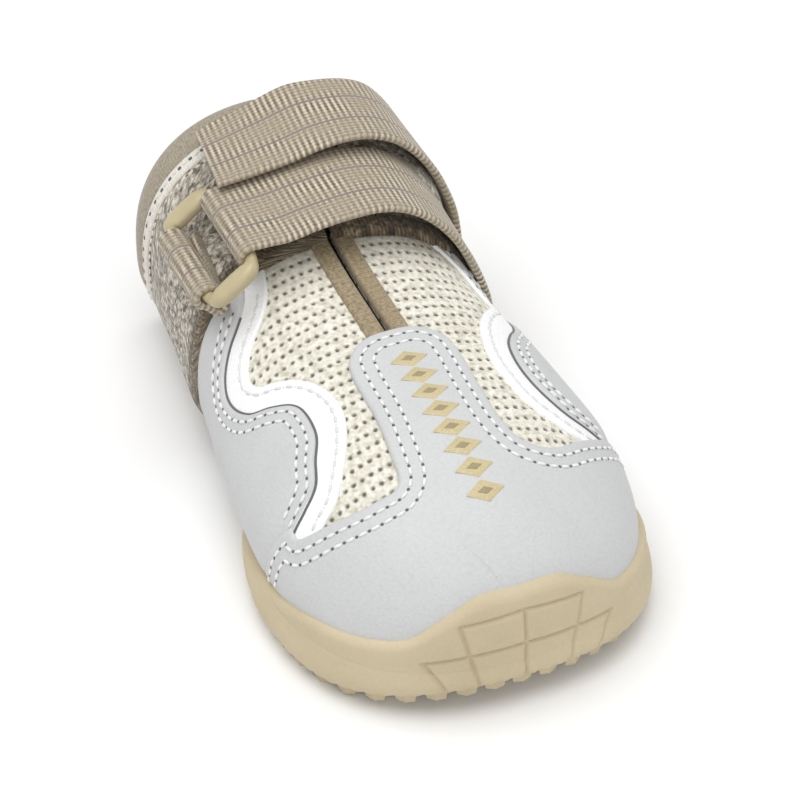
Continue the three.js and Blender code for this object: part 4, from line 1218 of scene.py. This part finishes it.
def shaft():
    """The knitted shaft, a padded sheet between its slit's edges. Outside it stands proud of the upper in a
    folded front edge, and inside it lies on the upper and then opens out behind it."""
    away, y, turn = shaft_grid(420)
    loft = between(SHAFT_LOFT, away)[:, None]
    under = smooth_step(100, 150, np.abs((turn + 180) % 360 - 180))
    top = loft * (1 - 0.3 * under) + pucker(y, turn) * smooth_step(0, 4, away)[:, None]
    outer = on_last(y, turn, top)
    inner = on_last(y, turn, 0.12 - 1.5 * smooth_step(8, 12, away)[:, None])
    run = np.cumsum(np.linalg.norm(np.diff(outer, axis=1, prepend=outer[:, :1]), axis=-1), 1)
    weave = sheet_weave(run, away[:, None])
    build("shaft_knit", *closed_sheet(outer, inner), SHAFT_KNIT, "shaft_fabric", ["shaft"], weave)


# Turn at which the slit's edge meets the collar.
COLLAR_START = turn_over(np.array(SLIT_HALF), np.array(COLLAR_Y - 3))


def round_collar(name, profile, material):
    """A closed profile of (distance from the collar along the boot, height over the last), run round the
    shaft's end from one side of the slit to the other."""
    base_y = np.minimum(COLLAR_Y + profile[:, 0], COLLAR_Y - 0.05)
    yy, turn = np.meshgrid(base_y, np.linspace(COLLAR_START, 360 - COLLAR_START, 300))
    points = on_last(yy, turn, np.broadcast_to(profile[:, 1], yy.shape))
    points[..., 1] += COLLAR_Y + profile[:, 0] - base_y
    run = np.cumsum(np.linalg.norm(np.diff(points[:, 0], axis=0, prepend=points[:1, 0]), axis=-1))
    weave = np.stack(np.broadcast_arrays(lengths(profile), run[:, None]), -1).reshape(-1, 2)
    weave = np.vstack([weave, np.zeros((2, 2))])
    points, faces = tube(points)
    build(name, points, faces, material, "binding_tape", weave=weave, crease=180)


# Profiles of the collar's edge as (distance from the collar along the boot, height over the last): the
# tape's outer face from front to back and inside, the way back to its start, and the band in front of it.
ROLL_LINE = [(-4.6, 1.0), (-4.4, 1.6), (-3.0, 2.1), (-1.2, 2.1), (0.9, 1.3), (1.5, -0.1), (0.8, -1.5),
             (-1.2, -2.2), (-4.0, -2.2), (-5.8, -1.9)]
ROLL_BACK = [(-5.8, -1.9), (-5.2, -0.4), (-4.6, 1.0)]
BAND_LINE = [(-7.0, 1.2), (-6.9, 1.75), (-6.2, 2.0), (-5.0, 2.0), (-4.4, 1.7), (-4.3, 1.0)]
# Rows of stitches in front of the collar: name, distance from the collar, pitch, height over the last, and
# the length and width of the needle holes.
RIM_ROWS = [("rim_band", 5.6, 2.2, 2.02, (0.8, 0.7)), ("rim_front", 7.6, 1.5, 1.5, (0.6, 0.5))]


def rim():
    """The rolled binding of the collar, a pale sewn band in front of it, and their stitches."""
    roll = np.concatenate([through(ROLL_LINE, 49), through(ROLL_BACK, 6)[1:-1]])
    round_collar("rim_binding", roll, RIM_TAPE)
    round_collar("rim_band", np.concatenate([through(BAND_LINE, 25), [(-5.6, 0.8)]]), RIM_BAND)
    turns = np.linspace(COLLAR_START + 1, 359 - COLLAR_START, 700)
    for name, back, pitch, lift, hole in RIM_ROWS:
        curve = np.column_stack([np.full(len(turns), COLLAR_Y - back), turns])
        stitches = set_along(bead(1.0, 0.55, 0.42), *seam(curve, lift, pitch))
        build(name + "_stitches", *stitches, CREAM_THREAD, "binding_tape", crease=180)
        holes = set_along(bead(*hole, 0.2, 8), *seam(curve, lift, pitch, 0.5))
        build(name + "_needle_holes", *holes, NEEDLE_HOLE, "binding_tape", crease=180)


# ---- Straps and loop ----
WEBBING_THICK = 1.3
RIB_HEIGHT = 0.045
FRONT_STRAP_Y = 40.2
REAR_STRAP_Y = 55.4
TAB_WIDTH = 17.4
LOOP_Y, LOOP_X, LOOP_Z = 49.2, -19.3, 35.4
LOOP_SPAN, LOOP_END, LOOP_REACH, LOOP_BAR = 25.0, 3.2, 9.8, 2.0
LOOP_TURN = 0.66
GAP = 0.15
# Where the webbing's turns round the bars start and end, in half turns; the tab's are from the loop's own
# plane.
STRAP_WRAP = (LOOP_TURN / math.pi - 0.6, -1.5)
TAB_WRAP = (-0.25, 1.3)
# Turns on the last between which the tab is sewn down, and the height of its middle there.
TAB_SEWN, TAB_LIFT = (-50, -45), 2.7

# The (x, z) points that the middle of each band passes at its front and at its rear edge.
FRONT_LIE = (
    [(-12.6, 40.2), (-9, 40.1), (-4, 41), (1, 41.5), (6.2, 41.5), (9.8, 40.7), (13.3, 38.9), (16.8, 35.9),
     (19.7, 32.2), (22.2, 27.9), (24.4, 23), (26.2, 17.5), (26.9, 12), (26.6, 7.5)],
    [(-12.6, 40.5), (-8, 40.9), (-3, 41.5), (1, 41.9), (5.1, 42), (10, 41.2), (13.7, 39.6), (17.3, 36.7),
     (20.4, 32.9), (22.8, 28.8), (24.5, 24), (25.5, 18), (25.6, 12), (25.1, 7.5)],
)
REAR_LIE = (
    [(-15.4, 42.5), (-11.5, 42.8), (-7, 43.3), (-2.7, 43.9), (2.5, 45), (7, 45.4), (11.4, 44.8),
     (15.6, 42.9), (19.3, 39.6), (22.6, 35), (24.9, 30.2), (26.7, 24.8), (27.6, 18.2), (27.7, 12),
     (27.2, 8)],
    [(-12.8, 40.8), (-8.4, 42.3), (-3.2, 44), (2.2, 45.7), (5.8, 45.8), (11.2, 45), (14.8, 43.8),
     (17.5, 42), (20.4, 38.4), (23, 33.4), (24.6, 28), (25.3, 22), (25.3, 16), (24.9, 11), (24.4, 8)],
)


def lie_at(lie, share, y, count):
    """A band's path at shares of the way from its front edge to its rear edge, as rows of (x, y, z): the
    two edge curves, each evenly spaced, are mixed by the share."""
    front, rear = (evenly(fine, fine, count) for fine in (through(rows, 20 * len(rows)) for rows in lie))
    mix = share[:, None, None]
    path = front[None] * (1 - mix) + rear[None] * mix
    return np.stack([path[..., 0], np.broadcast_to(y[:, None], path.shape[:2]), path[..., 1]], -1)


def round_bar(centre, start, end, y, count):
    """A turn of webbing round a bar along Y, from start to end in half turns: an arc whose radius is the
    bar's, a gap and half the webbing."""
    radius = LOOP_BAR / 2 + GAP + WEBBING_THICK / 2
    angle = math.pi * np.linspace(start, end, count)
    x, z = centre[0] + radius * np.cos(angle), centre[1] + radius * np.sin(angle)
    return np.stack(np.broadcast_arrays(x, y[:, None], z), -1)


def rounded_path(path, passes):
    """A path with its corners eased: each point moves halfway to the middle of its neighbours, some times
    over."""
    for _ in range(passes):
        path[:, 1:-1] += 0.5 * ((path[:, :-2] + path[:, 2:]) / 2 - path[:, 1:-1])
    return path


def band(name, path_at, low_y, width, replaces):
    """A band of webbing. The path at each station across its width is spaced evenly, and both faces stand
    off it by half the thickness, which rounds down at the two long edges. Each rib is a sine wave across
    the band."""
    share = np.concatenate([[0, 0.01, 0.025, 0.05], np.linspace(0.08, 0.92, 15), [0.95, 0.975, 0.99, 1]])
    path = rounded_path(path_at(share, low_y + width * share), 3)
    run = lengths(path[len(share) // 2])
    count = int(run[-1] / (RIB / 6))
    path = np.stack([evenly(row, row, count) for row in path])
    normal = unit(np.cross(np.gradient(path, axis=1), np.array([0.0, 1.0, 0.0])))
    distance = np.linspace(0, run[-1], count)
    edge = np.clip(np.minimum(share, 1 - share) / 0.04, 0, 1)
    thick = WEBBING_THICK / 2 * np.sqrt(np.maximum(1 - (1 - edge) ** 2, 0.02))[:, None]
    thread = sum(np.exp(-((share - place) / 0.014) ** 2) for place in THREAD_PLACES)[:, None]
    wave = 0.5 + 0.5 * np.sin(2 * np.pi * distance / RIB)
    stand = (thick + RIB_HEIGHT * wave * (1 - 0.5 * thread) * (thick > 0.5))[..., None] * normal
    weave = sheet_weave(distance, width * share[:, None])
    return build(name, *closed_sheet(path + stand, path - stand), WEBBING, "webbing", replaces, weave)


ACROSS = np.array([math.cos(LOOP_TURN), math.sin(LOOP_TURN)])
INNER_BAR = np.array([LOOP_X, LOOP_Z]) + LOOP_REACH / 2 * ACROSS
OUTER_BAR = np.array([LOOP_X, LOOP_Z]) - LOOP_REACH / 2 * ACROSS


def straps():
    """Front band: round the loop's inner bar, then over the shaft and down the +X side. Rear band: from the
    -X shoulder over and down. Tab: over the loop's outer bar and under it on to the shaft."""
    def front(share, y):
        """Round the inner bar, then along the front band's lie."""
        turn = round_bar(INNER_BAR, *STRAP_WRAP, y, 40)
        return np.concatenate([turn, lie_at(FRONT_LIE, share, y, 160)], 1)

    def rear(share, y):
        """Along the rear band's lie."""
        return lie_at(REAR_LIE, share, y, 200)

    def tab(_, y):
        """Round the outer bar, then along the last, at the same y all the way."""
        start, end = (LOOP_TURN / math.pi + turns for turns in TAB_WRAP)
        yy, angle = np.meshgrid(y, np.linspace(*TAB_SEWN, 20), indexing="ij")
        sewn = on_last(yy, angle, TAB_LIFT)
        sewn[..., 1] = yy
        return np.concatenate([round_bar(OUTER_BAR, start, end, y, 50), sewn], 1)

    band("strap_front_webbing", front, FRONT_STRAP_Y, WEBBING_WIDTH, ["strap_front"])
    band("strap_rear_webbing", rear, REAR_STRAP_Y, WEBBING_WIDTH, ["strap_rear"])
    band("loop_tab_webbing", tab, LOOP_Y - TAB_WIDTH / 2, TAB_WIDTH, ["loop_tab"])


# How the short bars swell into lozenges: outwards, up and down, and how far their middle lifts.
SWELL_OUT, SWELL_UP, SWELL_LIFT = 0.8, 0.3, 0.3


def strap_loop():
    """The plastic loop: a rounded rectangle swept by an oval that swells to a lozenge on the two short
    bars."""
    turn = np.linspace(0, 2 * np.pi, 241)[:-1]
    reach = reach_of(np.cos(turn), np.sin(turn), 5.0)
    half_along = (LOOP_SPAN - LOOP_END) / 2
    across, along = LOOP_REACH / 2 * np.cos(turn) * reach, half_along * np.sin(turn) * reach
    end = smooth_step(0.84, 1.0, np.abs(along) / half_along)
    swell = end * np.cos(np.clip(across / (LOOP_REACH / 2 + 2), -1, 1) * np.pi / 2) ** 0.6
    middle = np.column_stack([across, along, SWELL_LIFT * swell])
    ahead = unit(np.roll(middle, -1, 0) - np.roll(middle, 1, 0))
    side = unit(np.cross(ahead, [0, 0, 1.0]))
    angle = np.linspace(0, 2 * np.pi, 25)[:-1]
    oval = reach_of(np.cos(angle), np.sin(angle), 2.6)
    out = (LOOP_BAR / 2 + SWELL_OUT * swell)[:, None] * np.cos(angle) * oval
    up = (LOOP_BAR / 2 + SWELL_UP * swell)[:, None] * np.sin(angle) * oval
    local = middle[:, None] + out[..., None] * side[:, None] + up[..., None] * np.array([0, 0, 1.0])
    x = LOOP_X + local[..., 0] * ACROSS[0] - local[..., 2] * ACROSS[1]
    z = LOOP_Z + local[..., 0] * ACROSS[1] + local[..., 2] * ACROSS[0]
    points = np.stack([x, LOOP_Y + local[..., 1], z], -1).reshape(-1, 3)
    faces = quads(len(turn) + 1, len(angle), wrap=True) % len(points)
    faces = turned_out(points, faces)
    build("strap_loop_plastic", points, faces, PLASTIC, "loop_plastic", ["strap_loop"], crease=180)


# ---- Stage ----
BOOT_MIDDLE = (0, 15, 15)
CAMERA_PLACE, CAMERA_AIM, CAMERA_LENS = (-160, -360, 358), (1, 19, 20), 150
# Each lamp's name, place in mm, size in metres and power in watts.
LAMPS = [
    ("top lamp", (-150, 60, 900), 0.9, 6.6),
    ("front lamp", (-300, -900, 500), 0.8, 2.0),
    ("side lamp", (800, -100, 420), 0.6, 0.8),
]
FLOOR_REACH = 3.0


def floor():
    """A plain pale floor."""
    mesh = bpy.data.meshes.new("floor")
    corners = [(x * FLOOR_REACH, y * FLOOR_REACH, 0) for x, y in ((-1, -1), (1, -1), (1, 1), (-1, 1))]
    mesh.from_pydata(corners, [], [(0, 1, 2, 3)])
    material, _, shader = finish("pale floor", 0.7)
    shader.inputs["Base Color"].default_value = (0.9, 0.9, 0.9, 1)
    mesh.materials.append(material)
    plane = bpy.data.objects.new("floor", mesh)
    bpy.context.scene.collection.objects.link(plane)


def aim(thing, place, target):
    """Stand a lamp or camera at a place in mm, looking at a target."""
    thing.location = Vector(place) * MM
    thing.rotation_mode = "QUATERNION"
    thing.rotation_quaternion = (Vector(target) - Vector(place)).to_track_quat("-Z", "Y")


def lamp(name, place, size, power):
    """A soft square lamp."""
    light = bpy.data.lights.new(name, "AREA")
    light.shape = "SQUARE"
    light.size = size
    light.energy = power
    thing = bpy.data.objects.new(name, light)
    bpy.context.scene.collection.objects.link(thing)
    aim(thing, place, BOOT_MIDDLE)


def light_and_camera():
    """Even studio light, brighter from above, and the camera beside the toe."""
    scene = bpy.context.scene
    world = bpy.data.worlds.new("studio")
    world.use_nodes = True
    background = world.node_tree.nodes["Background"]
    background.inputs["Color"].default_value = (1, 1, 1, 1)
    background.inputs["Strength"].default_value = 0.5
    scene.world = world
    for each in LAMPS:
        lamp(*each)
    camera = bpy.data.cameras.new("camera")
    camera.lens = CAMERA_LENS
    thing = bpy.data.objects.new("camera", camera)
    scene.collection.objects.link(thing)
    aim(thing, CAMERA_PLACE, CAMERA_AIM)
    scene.camera = thing
    scene.view_settings.view_transform = "Standard"


light_and_camera()
floor()
outsole()
tread()
upper()
overlays()
slit_tapes()
gusset()
insole()
shaft()
rim()
straps()
strap_loop()
